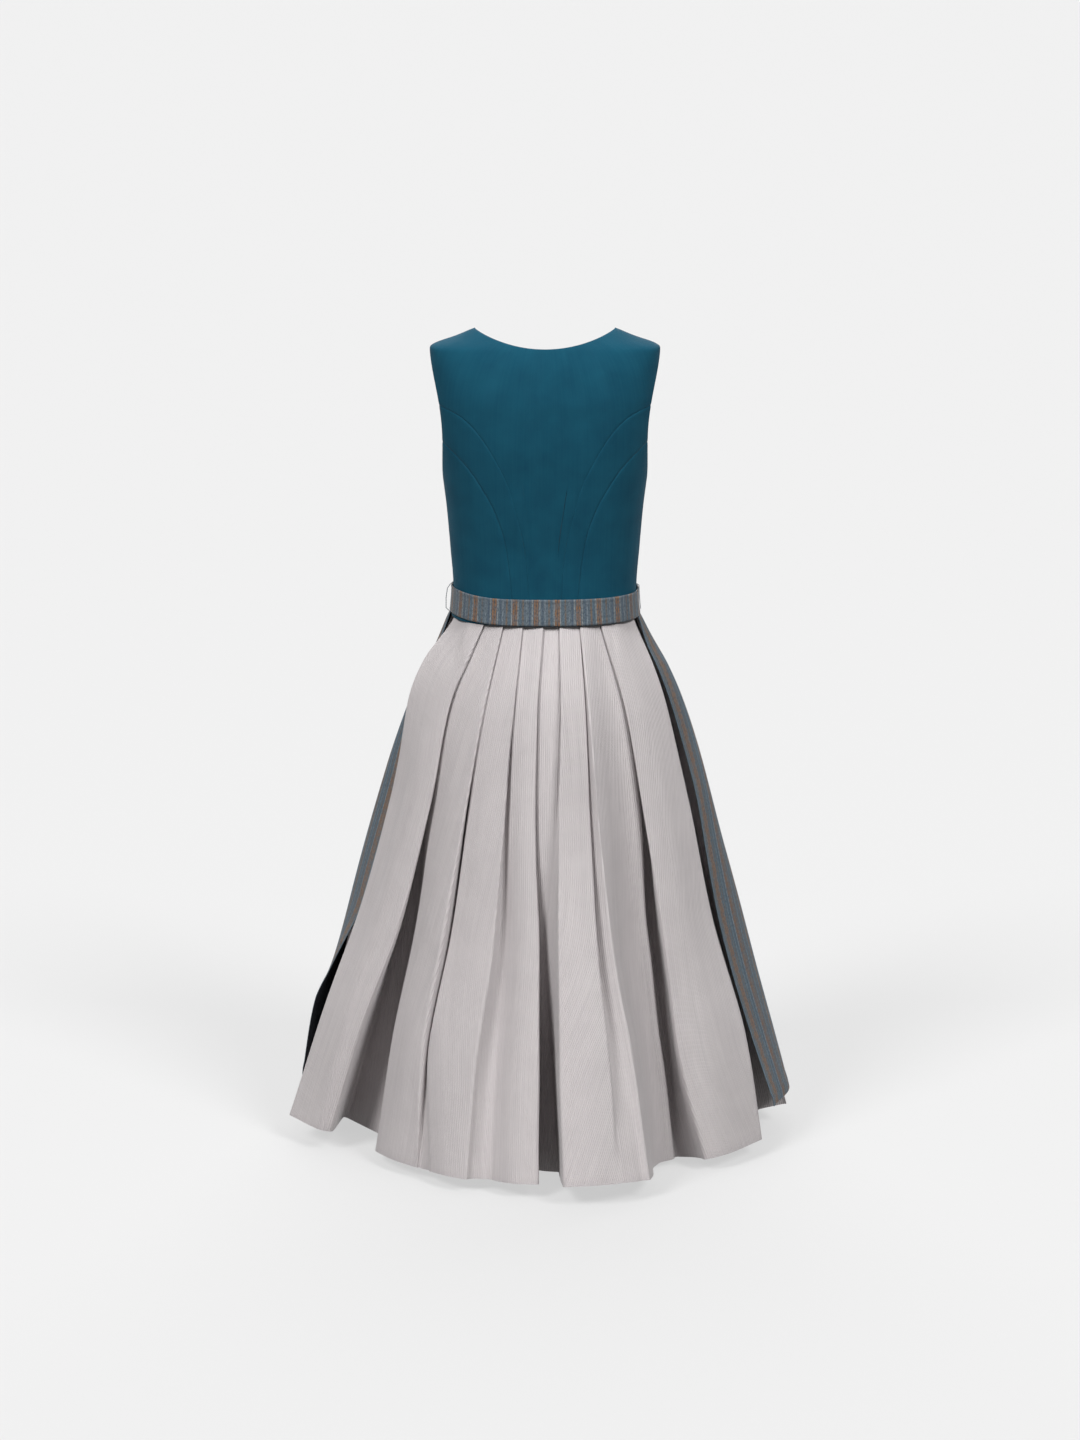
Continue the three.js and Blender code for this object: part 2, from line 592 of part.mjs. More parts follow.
// A pleat of the side or front: its edge on the skirt's section, its turn hidden behind.
function sidePleatLines(row) {
  const angle = (t) => mix(row.waist, row.hem, t);
  const flare = (t) => swing(levelOf(t));
  const at = (ahead, inward) => sectionLine((t) => angle(t) + ahead(t), inward);
  const layers = PLEAT_LAYERS;
  const deep = (t) => row.deep * flare(t);
  const turn = (from, to) => (t) => mix(from, to, flare(t));
  const next = at(turn(0, -PLEAT_OPEN_ANGLE), (t) => layers.next * LAYER + PLEAT_SLACK.next * t);
  const halfOpen = turn(PLEAT_BACK_ANGLE, -PLEAT_OPEN_ANGLE / 2);
  const hiddenNext = at(halfOpen, (t) => layers.hiddenNext * LAYER + deep(t));
  const hidden = at(turn(PLEAT_BACK_ANGLE, HIDDEN_OPEN_ANGLE), (t) => layers.hidden * LAYER + deep(t));
  const turned = at((t) => 0.4 * t, (t) => LAYER + PLEAT_SLACK.turned * t);
  const edge = at(() => 0, () => 0);
  return { angle, opening: [next, hiddenNext, hidden], top: [turned, edge] };
}

const mirrorLine = (line) => (t) => ({ x: -line(t).x, y: line(t).y });

function backLines() {
  const folds = BACK_FOLDS.map(foldLines);
  const lines = [];
  folds.forEach((item, i) => {
    const onTop = folds[i - item.fold.side]?.next;
    const added = item.fold.side ? pleatLines(item, onTop) : [item.edge];
    const previous = i > 0 ? folds[i - 1].fold : null;
    const isPanel = previous && (previous.side || item.fold.side);
    if (isPanel && !previous.name.startsWith('P6 ')) {
      lines.push(between(lines[lines.length - 1], added[0], 0.5, PANEL_BULGE));
    }
    lines.push(...added);
  });
  return lines;
}

// The lines of one half of the front, from beside its side seam to the inner pleat's edge.
function frontHalf(rows) {
  const pleats = rows.map(sidePleatLines);
  const lines = [pleats[0].opening[2], ...pleats[0].top];
  for (let i = 1; i < pleats.length; i++) {
    const opening = (t) => pleats[i].angle(t) - PLEAT_OPEN_ANGLE * swing(levelOf(t));
    const middle = (t) => mix(pleats[i - 1].angle(t), opening(t), 0.5);
    const slack = (t) => LAYER + PLEAT_SLACK.turned * t;
    lines.push(sectionLine(middle, slack), ...pleats[i].opening, ...pleats[i].top);
  }
  return lines;
}

// The lines of the plain panel between the two inner pleats of the front.
function frontMiddle() {
  const inner = sidePleatLines(FRONT_PLEATS.right[FRONT_PLEATS.right.length - 1]).angle;
  return [0.5, 1, 1.5].map((share) => (
    sectionLine((t) => mix(inner(t), 180, share), (t) => MIDDLE_SLACK * t * Math.sin(Math.PI * share / 2))));
}

// Rows of the skirt from the hem up, each line cut to the skirt's length along its slope.
function skirtRows(lines) {
  const steps = [1, 0.86, 0.73, 0.6, 0.48, 0.36, 0.26, 0.17, 0.09, 0.035, 0];
  const top = WAIST_Z - SEAM_GAP * 2;
  return steps.map((t) => lines.map((line) => {
    const waist = line(0);
    const hem = line(1);
    const out = Math.hypot(hem.x - waist.x, hem.y - waist.y);
    const drop = Math.sqrt(SKIRT_LENGTH ** 2 - out ** 2);
    const p = line(t);
    return new THREE.Vector3(p.x, p.y, top - drop * t);
  }));
}

function buildSkirt() {
  const back = backLines();
  const right = frontHalf(FRONT_PLEATS.right);
  const left = frontHalf(FRONT_PLEATS.left).reverse().map(mirrorLine);
  const seamRight = between(back[back.length - 1], right[0], 0.5, 0);
  const seamLeft = between(left[left.length - 1], back[0], 0.5, 0);
  const backRows = openSeams(skirtRows([seamLeft, ...back, seamRight]));
  const frontRows = openSeams(skirtRows([seamRight, ...right, ...frontMiddle(), ...left, seamLeft]));
  return [
    wall('skirt_back', backRows, WALL.skirt, COLOURS.skirt),
    wall('skirt_front', frontRows, WALL.skirt, COLOURS.skirt),
  ];
}

// Apron

// Height of the band's lower edge round the waist; it sits higher at the wearer's left back.
function bandBottom(angle) {
  const turn = (angle - BAND_LIFT.angle + 360) % 360;
  const away = Math.min(turn, 360 - turn);
  return BAND_BOTTOM_Z + BAND_LIFT.height * ease(1 - away / BAND_LIFT.reach);
}

// The band's middle surface, outside the bodice wall.
const bandPoint = (angle, z, step) => bodicePoint(angle, z, BAND_CLEARANCE + step);

function buildBand() {
  const columns = 64;
  const lapAngle = BAND_LAP / 2;
  const endAngle = BAND_LAP_ANGLE + 360 + lapAngle;
  const rows = [0, 0.34, 0.67, 1].map((v) => Array.from({ length: columns + 1 }, (_, k) => {
    const angle = mix(BAND_LAP_ANGLE, endAngle, k / columns);
    const step = LAP_STEP * ease((angle - endAngle + 3 * lapAngle) / (1.6 * lapAngle));
    return bandPoint(angle, bandBottom(angle) + BAND_HEIGHT * v, step);
  }));
  return wall('apron_band', rows, WALL.band, COLOURS.apron);
}

function edgeOf(rows) {
  const x = profileOf(rows, 'x');
  const y = profileOf(rows, 'y');
  return (z) => ({ x: x(z), y: y(z) });
}

function buildApron() {
  const columns = 44;
  const rowSteps = [1, 0.87, 0.74, 0.61, 0.49, 0.38, 0.28, 0.19, 0.11, 0.05, 0];
  const right = edgeOf(APRON_EDGES.right);
  const left = edgeOf(APRON_EDGES.left);
  const lowest = APRON_HEM_Z - 6;
  const rows = rowSteps.map((t) => {
    const level = mix(WAIST_Z, lowest, t);
    const stand = APRON_CLEARANCE + APRON_STAND * ease(t * 2);
    const starts = APRON_SPAN.waist.map((angle, i) => mix(angle, APRON_SPAN.hem[i], t));
    const bases = starts.map((angle) => skirtPoint(angle, level, stand));
    const edges = [right(level), left(level)];
    return Array.from({ length: columns + 1 }, (_, k) => {
      const s = k / columns;
      const angle = mix(starts[0], starts[1], s);
      const wave = Math.sin(Math.PI * s) ** 0.5 * (0.5 - 0.5 * Math.cos(2 * Math.PI * APRON_WAVES * s));
      const swell = APRON_SWELLS.reduce((sum, row) => sum + row.out * ease(t * row.start)
        * mix(1, row.left, ease((t - HIPS.fall) / HIPS.end)) * ease(1 - Math.abs(s - row.at) / row.reach), 0);
      const point = skirtPoint(angle, level, stand + APRON_WAVE_DEPTH * ease(t * 1.4) * wave + swell);
      const weights = [ease(1 - s / APRON_EDGE_SHARE.right), ease(1 - (1 - s) / APRON_EDGE_SHARE.left)];
      edges.forEach((edge, i) => {
        point.x += (edge.x - bases[i].x) * weights[i];
        point.y += (edge.y - bases[i].y) * weights[i];
      });
      const top = bandBottom(angle) - 2 * SEAM_GAP;
      point.z = mix(top, APRON_HEM_Z, t);
      return point;
    });
  });
  return wall('apron_panel', rows, WALL.apron, COLOURS.apron);
}

// A thread loop that holds the band at the side: out from the seam above, down and back in below.
function buildLoop(name, angle, stand) {
  const top = bandBottom(angle) + BAND_HEIGHT + LOOP.head;
  const outside = BAND_CLEARANCE + WALL.band / 2 + SEAM_GAP + LOOP.thread / 2;
  const seat = WALL.bodice / 2 + SEAM_GAP + LOOP.thread / 2;
  const bottom = WAIST_Z + LOOP.foot;
  const stations = [
    { z: top, out: seat }, { z: top - 2.2, out: outside }, { z: top - 8, out: outside + stand * 0.75 },
    { z: mix(top, bottom, 0.5), out: outside + stand }, { z: bottom + 7, out: outside + stand * 0.8 },
    { z: bottom + 3.2, out: outside },
  ];
  const path = new THREE.CatmullRomCurve3(stations.map((s) => bodicePoint(angle, s.z, s.out)));
  const section = new THREE.Shape();
  section.absarc(0, 0, LOOP.thread / 2, 0, 2 * Math.PI, false);
  const geometry = new THREE.ExtrudeGeometry(section,
    { steps: LOOP.segments, curveSegments: LOOP.sides, extrudePath: path });
  const mesh = new THREE.Mesh(geometry, new THREE.MeshStandardMaterial(COLOURS.loop));
  mesh.name = name;
  return mesh;
}

const dress = new THREE.Group();
dress.add(...buildBodice());
dress.add(...buildSkirt());
dress.add(buildBand());
dress.add(buildApron());
dress.add(buildLoop('belt_loop_left', -88, LOOP.stand));
dress.add(buildLoop('belt_loop_right', 92, 0));

export default dress;
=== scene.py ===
"""A sleeveless folk dress with a pleated skirt and a striped apron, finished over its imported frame.

Sizes are in millimetres until a mesh is made. +Z is up, -Y is the garment's back and -X the wearer's
left. The origin is midway between the two neck points of the shoulders.
"""

from __future__ import annotations

import logging
import math
from dataclasses import dataclass, field
from enum import Enum
from typing import Callable, Sequence

import bmesh
import bpy
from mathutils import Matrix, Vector, noise

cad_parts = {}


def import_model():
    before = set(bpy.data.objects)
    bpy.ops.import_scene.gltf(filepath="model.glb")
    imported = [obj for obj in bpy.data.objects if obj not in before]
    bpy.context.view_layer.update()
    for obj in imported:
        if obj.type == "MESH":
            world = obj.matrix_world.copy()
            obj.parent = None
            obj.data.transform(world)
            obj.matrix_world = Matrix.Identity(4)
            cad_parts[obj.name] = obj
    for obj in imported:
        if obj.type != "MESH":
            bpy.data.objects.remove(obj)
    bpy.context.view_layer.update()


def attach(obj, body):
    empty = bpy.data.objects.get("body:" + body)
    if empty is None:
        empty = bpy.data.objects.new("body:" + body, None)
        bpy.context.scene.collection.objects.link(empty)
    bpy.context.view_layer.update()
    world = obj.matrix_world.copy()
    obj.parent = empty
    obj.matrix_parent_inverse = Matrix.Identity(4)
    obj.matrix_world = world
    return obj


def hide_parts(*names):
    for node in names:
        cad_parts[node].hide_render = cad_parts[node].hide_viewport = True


log = logging.getLogger("dirndl")

MM = 0.001
Plan = tuple[float, float]
Course = Callable[[float], Plan]
Change = Callable[[float], float]
Grid = list[list[Vector]]
Measure = list[list[tuple[float, float]]]
Colour = tuple[int, int, int]
Socket = bpy.types.NodeSocket


def mix(a: float, b: float, t: float) -> float:
    """Blends from a to b."""
    return a + (b - a) * t


def clamp01(t: float) -> float:
    """Keeps a value from 0 to 1."""
    return min(1.0, max(0.0, t))


def ease(t: float) -> float:
    """Rises softly from 0 to 1."""
    t = clamp01(t)
    return t * t * (3 - 2 * t)


def bell(distance: float, width: float) -> float:
    """A soft bump one high, about width wide on each side."""
    return math.exp(-((distance / width) ** 2))


def signed_power(value: float, power: float) -> float:
    """Raises a value to a power and keeps its sign."""
    return math.copysign(abs(value) ** power, value)


class Profile:
    """A smooth curve through values given at falling heights, with no overshoot."""

    def __init__(self, heights: Sequence[float], values: Sequence[float]) -> None:
        """Works out the curve's tangents.

        Args:
            heights: heights from the highest down.
            values: one value for each height.
        """
        self.heights = list(heights)
        self.values = list(values)
        slopes = [
            (values[i + 1] - values[i]) / (heights[i + 1] - heights[i])
            for i in range(len(values) - 1)
        ]
        self.tangents = [slopes[0]]
        for a, b in zip(slopes, slopes[1:]):
            self.tangents.append(0.0 if a * b <= 0 else 2 * a * b / (a + b))
        self.tangents.append(slopes[-1])

    def __call__(self, height: float) -> float:
        """Gives the value at a height.

        Args:
            height: where the curve is read.

        Returns:
            The value there.
        """
        heights, values = self.heights, self.values
        i = 0
        while i < len(heights) - 2 and height < heights[i + 1]:
            i += 1
        span = heights[i + 1] - heights[i]
        t = clamp01((height - heights[i]) / span)
        t2, t3 = t * t, t * t * t
        return (
            (2 * t3 - 3 * t2 + 1) * values[i]
            + (t3 - 2 * t2 + t) * span * self.tangents[i]
            + (3 * t2 - 2 * t3) * values[i + 1]
            + (t3 - t2) * span * self.tangents[i + 1]
        )


class Side(Enum):
    """Which side of the wearer a piece lies on."""

    LEFT = "left"
    RIGHT = "right"


@dataclass(frozen=True)
class Section:
    """Half-sizes of a rounded section of the garment at one height."""

    z: float
    side: float
    back: float
    front: float
    power: float


class Form:
    """A worn shape that is given by rounded sections."""

    def __init__(self, sections: Sequence[Section]) -> None:
        """Makes the curves of the half-sizes.

        Args:
            sections: the sections from the highest down.
        """
        heights = [s.z for s in sections]
        self.side = Profile(heights, [s.side for s in sections])
        self.back = Profile(heights, [s.back for s in sections])
        self.front = Profile(heights, [s.front for s in sections])
        self.power = Profile(heights, [s.power for s in sections])

    def point(self, angle: float, z: float, outward: float = 0.0) -> Vector:
        """Gives a point on the form.

        Args:
            angle: degrees from the middle of the back, +90 at +X and 180 at the front.
            z: height.
            outward: distance from the form along its section's normal.

        Returns:
            The point.
        """
        s, c = math.sin(math.radians(angle)), math.cos(math.radians(angle))
        power = self.power(z)
        side = self.side(z)
        depth = self.back(z) if c > 0 else self.front(z)
        nx = signed_power(s, 2 - 2 / power) / side
        ny = -signed_power(c, 2 - 2 / power) / depth
        reach = outward / math.hypot(nx, ny)
        return Vector(
            (
                side * signed_power(s, 2 / power) + nx * reach,
                -depth * signed_power(c, 2 / power) + ny * reach,
                z,
            )
        )

    def angle_at(self, x: float, z: float) -> float:
        """Gives the angle from 0 to 90 of the point that lies x from the middle."""
        s = min(1.0, abs(x) / self.side(z)) ** (self.power(z) / 2)
        return math.degrees(math.asin(s))

    def place_of(self, point: Vector) -> Vector:
        """Moves a point inside the form straight out onto it."""
        depth = self.back(point.z) if point.y < 0 else self.front(point.z)
        half = self.power(point.z) / 2
        s = signed_power(point.x / self.side(point.z), half)
        c = -signed_power(point.y / depth, half)
        return self.point(math.degrees(math.atan2(s, c)), point.z)


def body_sections() -> list[Section]:
    """Gives the bodice's sections from the shoulders to the waist."""
    rows = [
        (0, 94, 26, 24),
        (-3, 101, 33, 30),
        (-10, 117, 45, 41),
        (-26, 154, 64, 58),
        (-60, 153, 82, 79),
        (-100, 150, 92, 93),
        (-160, 143, 96, 108),
        (-207, 137, 95, 116),
        (-240, 133, 94, 117),
        (-300, 128, 91, 103),
        (-352, 124.5, 91.5, 92),
        (-390, 127, 96.5, 92),
    ]
    return [Section(z, side, back, front, 2.5) for z, side, back, front in rows]


def skirt_sections() -> list[Section]:
    """Gives the sections of the skirt's outer folds from the waist to the hem."""
    rows = [
        (-390, 127, 96.5, 92, 2.5),
        (-440, 147, 121, 112, 2.3),
        (-500, 174, 148, 137, 2.15),
        (-570, 198, 172, 163, 2.1),
        (-640, 219, 194, 186, 2.05),
        (-720, 242, 218, 210, 2),
        (-800, 264, 240, 231, 2),
        (-900, 290, 266, 256, 2),
        (-1000, 317, 291, 279, 2),
        (-1108, 345, 316, 300, 2),
    ]
    return [Section(*row) for row in rows]


BODY = Form(body_sections())
SKIRT = Form(skirt_sections())
WAIST_Z = -390.0
WAIST_GAP = 0.6
EVEN_WEIGHT = 90
LEAST_AREA_SHARE = 0.3
APRON_WIDTH = 1180.0


def grid_normals(rows: Grid) -> Grid:
    """Gives the outward normals of a grid whose rows rise and whose columns run anticlockwise.

    Args:
        rows: the grid's points.

    Returns:
        One unit normal for each point.
    """
    height, width = len(rows), len(rows[0])
    normals = []
    for j in range(height):
        low, high = rows[max(j - 1, 0)], rows[min(j + 1, height - 1)]
        row = rows[j]
        line = []
        for k in range(width):
            across = row[min(k + 1, width - 1)] - row[max(k - 1, 0)]
            line.append(across.cross(high[k] - low[k]).normalized())
        normals.append(line)
    return normals


def arc_lengths(row: Sequence[Vector]) -> list[float]:
    """Gives the distance along a row up to each of its points."""
    lengths = [0.0]
    for a, b in zip(row, row[1:]):
        lengths.append(lengths[-1] + (b - a).length)
    return lengths


@dataclass(frozen=True)
class Spot:
    """A point of a grid, with what its lift may depend on.

    Attributes:
        row: the number of its row, from the lowest up.
        point: its place.
        normal: the outward normal there.
        start: how far it lies from its row's first point.
        end: how far it lies from its row's last point.
    """

    row: int
    point: Vector
    normal: Vector
    start: float
    end: float


def lifted(rows: Grid, lift: Callable[[Spot], float]) -> Grid:
    """Moves every point of a grid along its normal.

    Args:
        rows: the grid's points.
        lift: gives how far a point moves.

    Returns:
        The moved points.
    """
    result = []
    for j, (row, normals) in enumerate(zip(rows, grid_normals(rows))):
        lengths = arc_lengths(row)
        spots = [Spot(j, p, n, own, lengths[-1] - own) for p, n, own in zip(row, normals, lengths)]
        result.append([spot.point + spot.normal * lift(spot) for spot in spots])
    return result


def placed(name: str, data: bpy.types.ID) -> bpy.types.Object:
    """Adds an object to the scene."""
    thing = bpy.data.objects.new(name, data)
    bpy.context.scene.collection.objects.link(thing)
    return thing


@dataclass
class Cloth:
    """A piece of cloth on a grid of points, from its lower edge up.

    Attributes:
        name: the piece's name.
        rows: the middle surface in millimetres.
        across: for each row, the cloth's own measure across at the two ends of each column.
        thickness: the cloth's thickness in millimetres.
        upright: whether the grain runs straight down, whatever the course of the columns.
    """

    name: str
    rows: Grid
    across: Measure
    thickness: float = 1.0
    upright: bool = False

    def build(self, outside: bpy.types.Material, inside: bpy.types.Material) -> bpy.types.Object:
        """Makes the mesh, its UV map in metres of cloth, and its two faces.

        Args:
            outside: the finish of the right side.
            inside: the finish of the wrong side.

        Returns:
            The finished object.
        """
        height, width = len(self.rows), len(self.rows[0])
        down = [[0.0] * width for _ in range(height)]
        for j in range(height - 2, -1, -1):
            for k in range(width):
                down[j][k] = down[j + 1][k] + (self.rows[j][k] - self.rows[j + 1][k]).length
        bm = bmesh.new()
        uv = bm.loops.layers.uv.new("cloth")
        bmesh.ops.create_grid(bm, x_segments=width - 1, y_segments=height - 1, size=0.5)
        place = {}
        for vert in bm.verts:
            k = round((vert.co.x + 0.5) * (width - 1))
            j = round((vert.co.y + 0.5) * (height - 1))
            place[vert] = (j, k)
            vert.co = self.rows[j][k] * MM
        for face in bm.faces:
            face.smooth = True
            first = min(place[v][1] for v in face.verts)
            for loop in face.loops:
                j, k = place[loop.vert]
                u = self.across[j][first][k - first]
                v = -self.rows[j][k].z if self.upright else down[j][k]
                loop[uv].uv = (u * MM, v * MM)
        mesh = bpy.data.meshes.new(self.name)
        bm.to_mesh(mesh)
        bm.free()
        mesh.materials.append(outside)
        mesh.materials.append(inside)
        piece = placed(self.name, mesh)
        wall = piece.modifiers.new("two faces", "SOLIDIFY")
        wall.thickness = self.thickness * MM
        wall.offset = 0.0
        wall.use_even_offset = False
        wall.material_offset = 1
        wall.material_offset_rim = 0
        even = piece.modifiers.new("even light to the edges", "WEIGHTED_NORMAL")
        even.mode = "FACE_AREA"
        even.weight = EVEN_WEIGHT
        return piece


def plain_across(rows: Grid) -> Measure:
    """Measures each row from its first point, for cloth with no folds to hide a jump in."""
    result = []
    for row in rows:
        lengths = arc_lengths(row)
        result.append(list(zip(lengths, lengths[1:])))
    return result


def flat_area(rows: Grid) -> float:
    """Gives the area of a grid in square metres."""
    total = 0.0
    for low, high in zip(rows, rows[1:]):
        for k in range(len(low) - 1):
            total += ((low[k + 1] - low[k]).cross(high[k] - low[k])).length / 2
            total += ((high[k] - high[k + 1]).cross(low[k + 1] - high[k + 1])).length / 2
    return total * MM * MM


def declare(piece: bpy.types.Object, node: str, rows: Grid) -> None:
    """Hangs a piece of cloth on the root, hides the frame's node that it stands for and logs how large it was
    cut.

    Args:
        piece: the finished cloth.
        node: the frame's node that it stands for.
        rows: its middle surface.
    """
    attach(piece, "root")
    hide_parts(node)
    width = max(arc_lengths(row)[-1] for row in rows) * MM
    length = max(arc_lengths([row[k] for row in rows])[-1] for k in range(len(rows[0]))) * MM
    area = max(min(flat_area(rows), width * length), LEAST_AREA_SHARE * width * length)
    log.info("%s: %.0f by %.0f mm of cloth", piece.name, width / MM, length / MM)


# Finishes

# Textures are given to the metre of cloth, across and down
RIB_PITCH = 0.0029
# How strongly the ribs' relief is painted into the colour as shade, lighter on the crests
RIB_PAINTED_SHADE = 0.014
FUZZ = 900.0
MOTTLE = 26.0
FINE_STREAKS = (420.0, 9.0)
WIDE_STREAKS = (90.0, 3.0)
FINE_SHARE = 0.6
FLECKS = (480.0, 210.0)
PATCHES = (60.0, 110.0)
SPECKLE = (520.0, 300.0)
SPECKLE_DARK = (48, 58, 70)
STRIPE_BLUR = 0.35
BUMP_STRENGTH = 0.6
ROUGHNESS_SPREAD = 0.06
SHEEN_ROUGHNESS = 0.4


def linear(rgb: Colour) -> tuple[float, float, float, float]:
    """Turns a screen colour into the linear one that a shader takes."""

    def channel(value: int) -> float:
        """Turns one channel."""
        c = value / 255
        return c / 12.92 if c <= 0.04045 else ((c + 0.055) / 1.055) ** 2.4

    return (channel(rgb[0]), channel(rgb[1]), channel(rgb[2]), 1.0)


class Shop:
    """Makes nodes of one tree and joins them."""

    def __init__(self, tree: bpy.types.NodeTree) -> None:
        """Keeps the tree."""
        self.tree = tree

    def add(self, kind: str, **settings: object) -> bpy.types.Node:
        """Adds a node and sets its properties."""
        node = self.tree.nodes.new(kind)
        for name, value in settings.items():
            setattr(node, name, value)
        return node

    def feed(self, node: bpy.types.Node, **inputs: object) -> bpy.types.Node:
        """Sets or links a node's inputs by name, with _ for a space.

        Args:
            node: the node.
            **inputs: an output socket or a value for each input.

        Returns:
            The same node.
        """
        for name, value in inputs.items():
            socket = node.inputs[int(name[1:]) if name[1:].isdigit() else name.replace("_", " ")]
            if isinstance(value, Socket):
                self.tree.links.new(value, socket)
            else:
                socket.default_value = value
        return node

    def maths(self, operation: str, a: object, b: object = 0.0, c: object = 0.0) -> Socket:
        """Adds a math node and gives its result."""
        node = self.add("ShaderNodeMath", operation=operation)
        self.feed(node, i0=a, i1=b, i2=c)
        return node.outputs[0]

    def blend(self, factor: object, a: object, b: object) -> Socket:
        """Adds a colour mix and gives its result."""
        node = self.add("ShaderNodeMix", data_type="RGBA", clamp_factor=True)
        self.feed(node, i0=factor, i6=a, i7=b)
        return node.outputs[2]

    def noise(self, vector: object, scale: float = 1.0, detail: float = 2.0) -> Socket:
        """Adds a noise texture and gives its value."""
        node = self.add("ShaderNodeTexNoise")
        self.feed(node, Vector=vector, Scale=scale, Detail=detail)
        return node.outputs["Fac"]

    def stretched(self, vector: object, scale: Plan, detail: float = 2.0) -> Socket:
        """Adds a noise that runs along the threads, scaled across and down."""
        node = self.add("ShaderNodeMapping")
        self.feed(node, Vector=vector, Scale=(*scale, 1.0))
        return self.noise(node.outputs[0], detail=detail)

    def between(self, value: object, low: float, high: float, to_low: float, to_high: float) -> Socket:
        """Maps a value from one range to another and keeps it inside."""
        node = self.add("ShaderNodeMapRange")
        self.feed(node, i0=value, i1=low, i2=high, i3=to_low, i4=to_high)
        return node.outputs[0]


def group(
    name: str, inputs: dict[str, tuple[str, object]], outputs: dict[str, str]
) -> tuple[Shop, dict[str, Socket], dict[str, Socket]]:
    """Starts a node group.

    Args:
        name: the group's name.
        inputs: socket type and first value of each input.
        outputs: socket type of each output.

    Returns:
        The shop on its tree, the inner sockets of its inputs, and those of its outputs.
    """
    tree = bpy.data.node_groups.new(name, "ShaderNodeTree")
    for label, (kind, value) in inputs.items():
        socket = tree.interface.new_socket(label, in_out="INPUT", socket_type=kind)
        if value is not None:
            socket.default_value = value
    for label, kind in outputs.items():
        tree.interface.new_socket(label, in_out="OUTPUT", socket_type=kind)
    shop = Shop(tree)
    given = shop.add("NodeGroupInput")
    taken = shop.add("NodeGroupOutput")
    return shop, {s.name: s for s in given.outputs}, {s.name: s for s in taken.inputs}


def weave_group() -> bpy.types.NodeTree:
    """Makes the woven ground that every cloth uses.

    Returns:
        A group that gives a height of crossing threads, a soft mottle from 0 to 1, and streaks that also
        carry a painted shade of the ribs, lighter on their crests.
    """
    name = "woven threads"
    if name in bpy.data.node_groups:
        return bpy.data.node_groups[name]
    shop, given, taken = group(
        name,
        {
            "Cloth": ("NodeSocketVector", None),
            "Threads": ("NodeSocketFloat", 900.0),
            "Ribs": ("NodeSocketFloat", 0.0),
        },
        {"Height": "NodeSocketFloat", "Mottle": "NodeSocketFloat", "Streaks": "NodeSocketFloat"},
    )
    cloth, strength = given["Cloth"], given["Ribs"]
    split = shop.add("ShaderNodeSeparateXYZ")
    shop.feed(split, Vector=cloth)
    turns = shop.maths("MULTIPLY", given["Threads"], math.tau)
    warp = shop.maths("SINE", shop.maths("MULTIPLY", split.outputs[0], turns))
    weft = shop.maths("SINE", shop.maths("MULTIPLY", split.outputs[1], turns))
    threads = shop.maths("MULTIPLY", warp, weft)
    ribs = shop.maths("SINE", shop.maths("MULTIPLY", split.outputs[0], math.tau / RIB_PITCH))
    height = shop.maths("MULTIPLY_ADD", ribs, strength, threads)
    fine = shop.maths("MULTIPLY", shop.stretched(cloth, FINE_STREAKS), FINE_SHARE)
    wide = shop.maths("MULTIPLY", shop.stretched(cloth, WIDE_STREAKS), 1 - FINE_SHARE)
    # Painted shade of the ribs: the colour turns lighter on their crests, in step with their relief
    rib_shade = shop.maths("MULTIPLY", shop.maths("MULTIPLY", ribs, strength), RIB_PAINTED_SHADE)
    results = {
        "Height": shop.maths("ADD", height, shop.noise(cloth, FUZZ, 1.0)),
        "Mottle": shop.noise(cloth, MOTTLE, 5.0),
        "Streaks": shop.maths("ADD", shop.maths("ADD", fine, wide), rib_shade),
    }
    for label, result in results.items():
        shop.tree.links.new(result, taken[label])
    return shop.tree


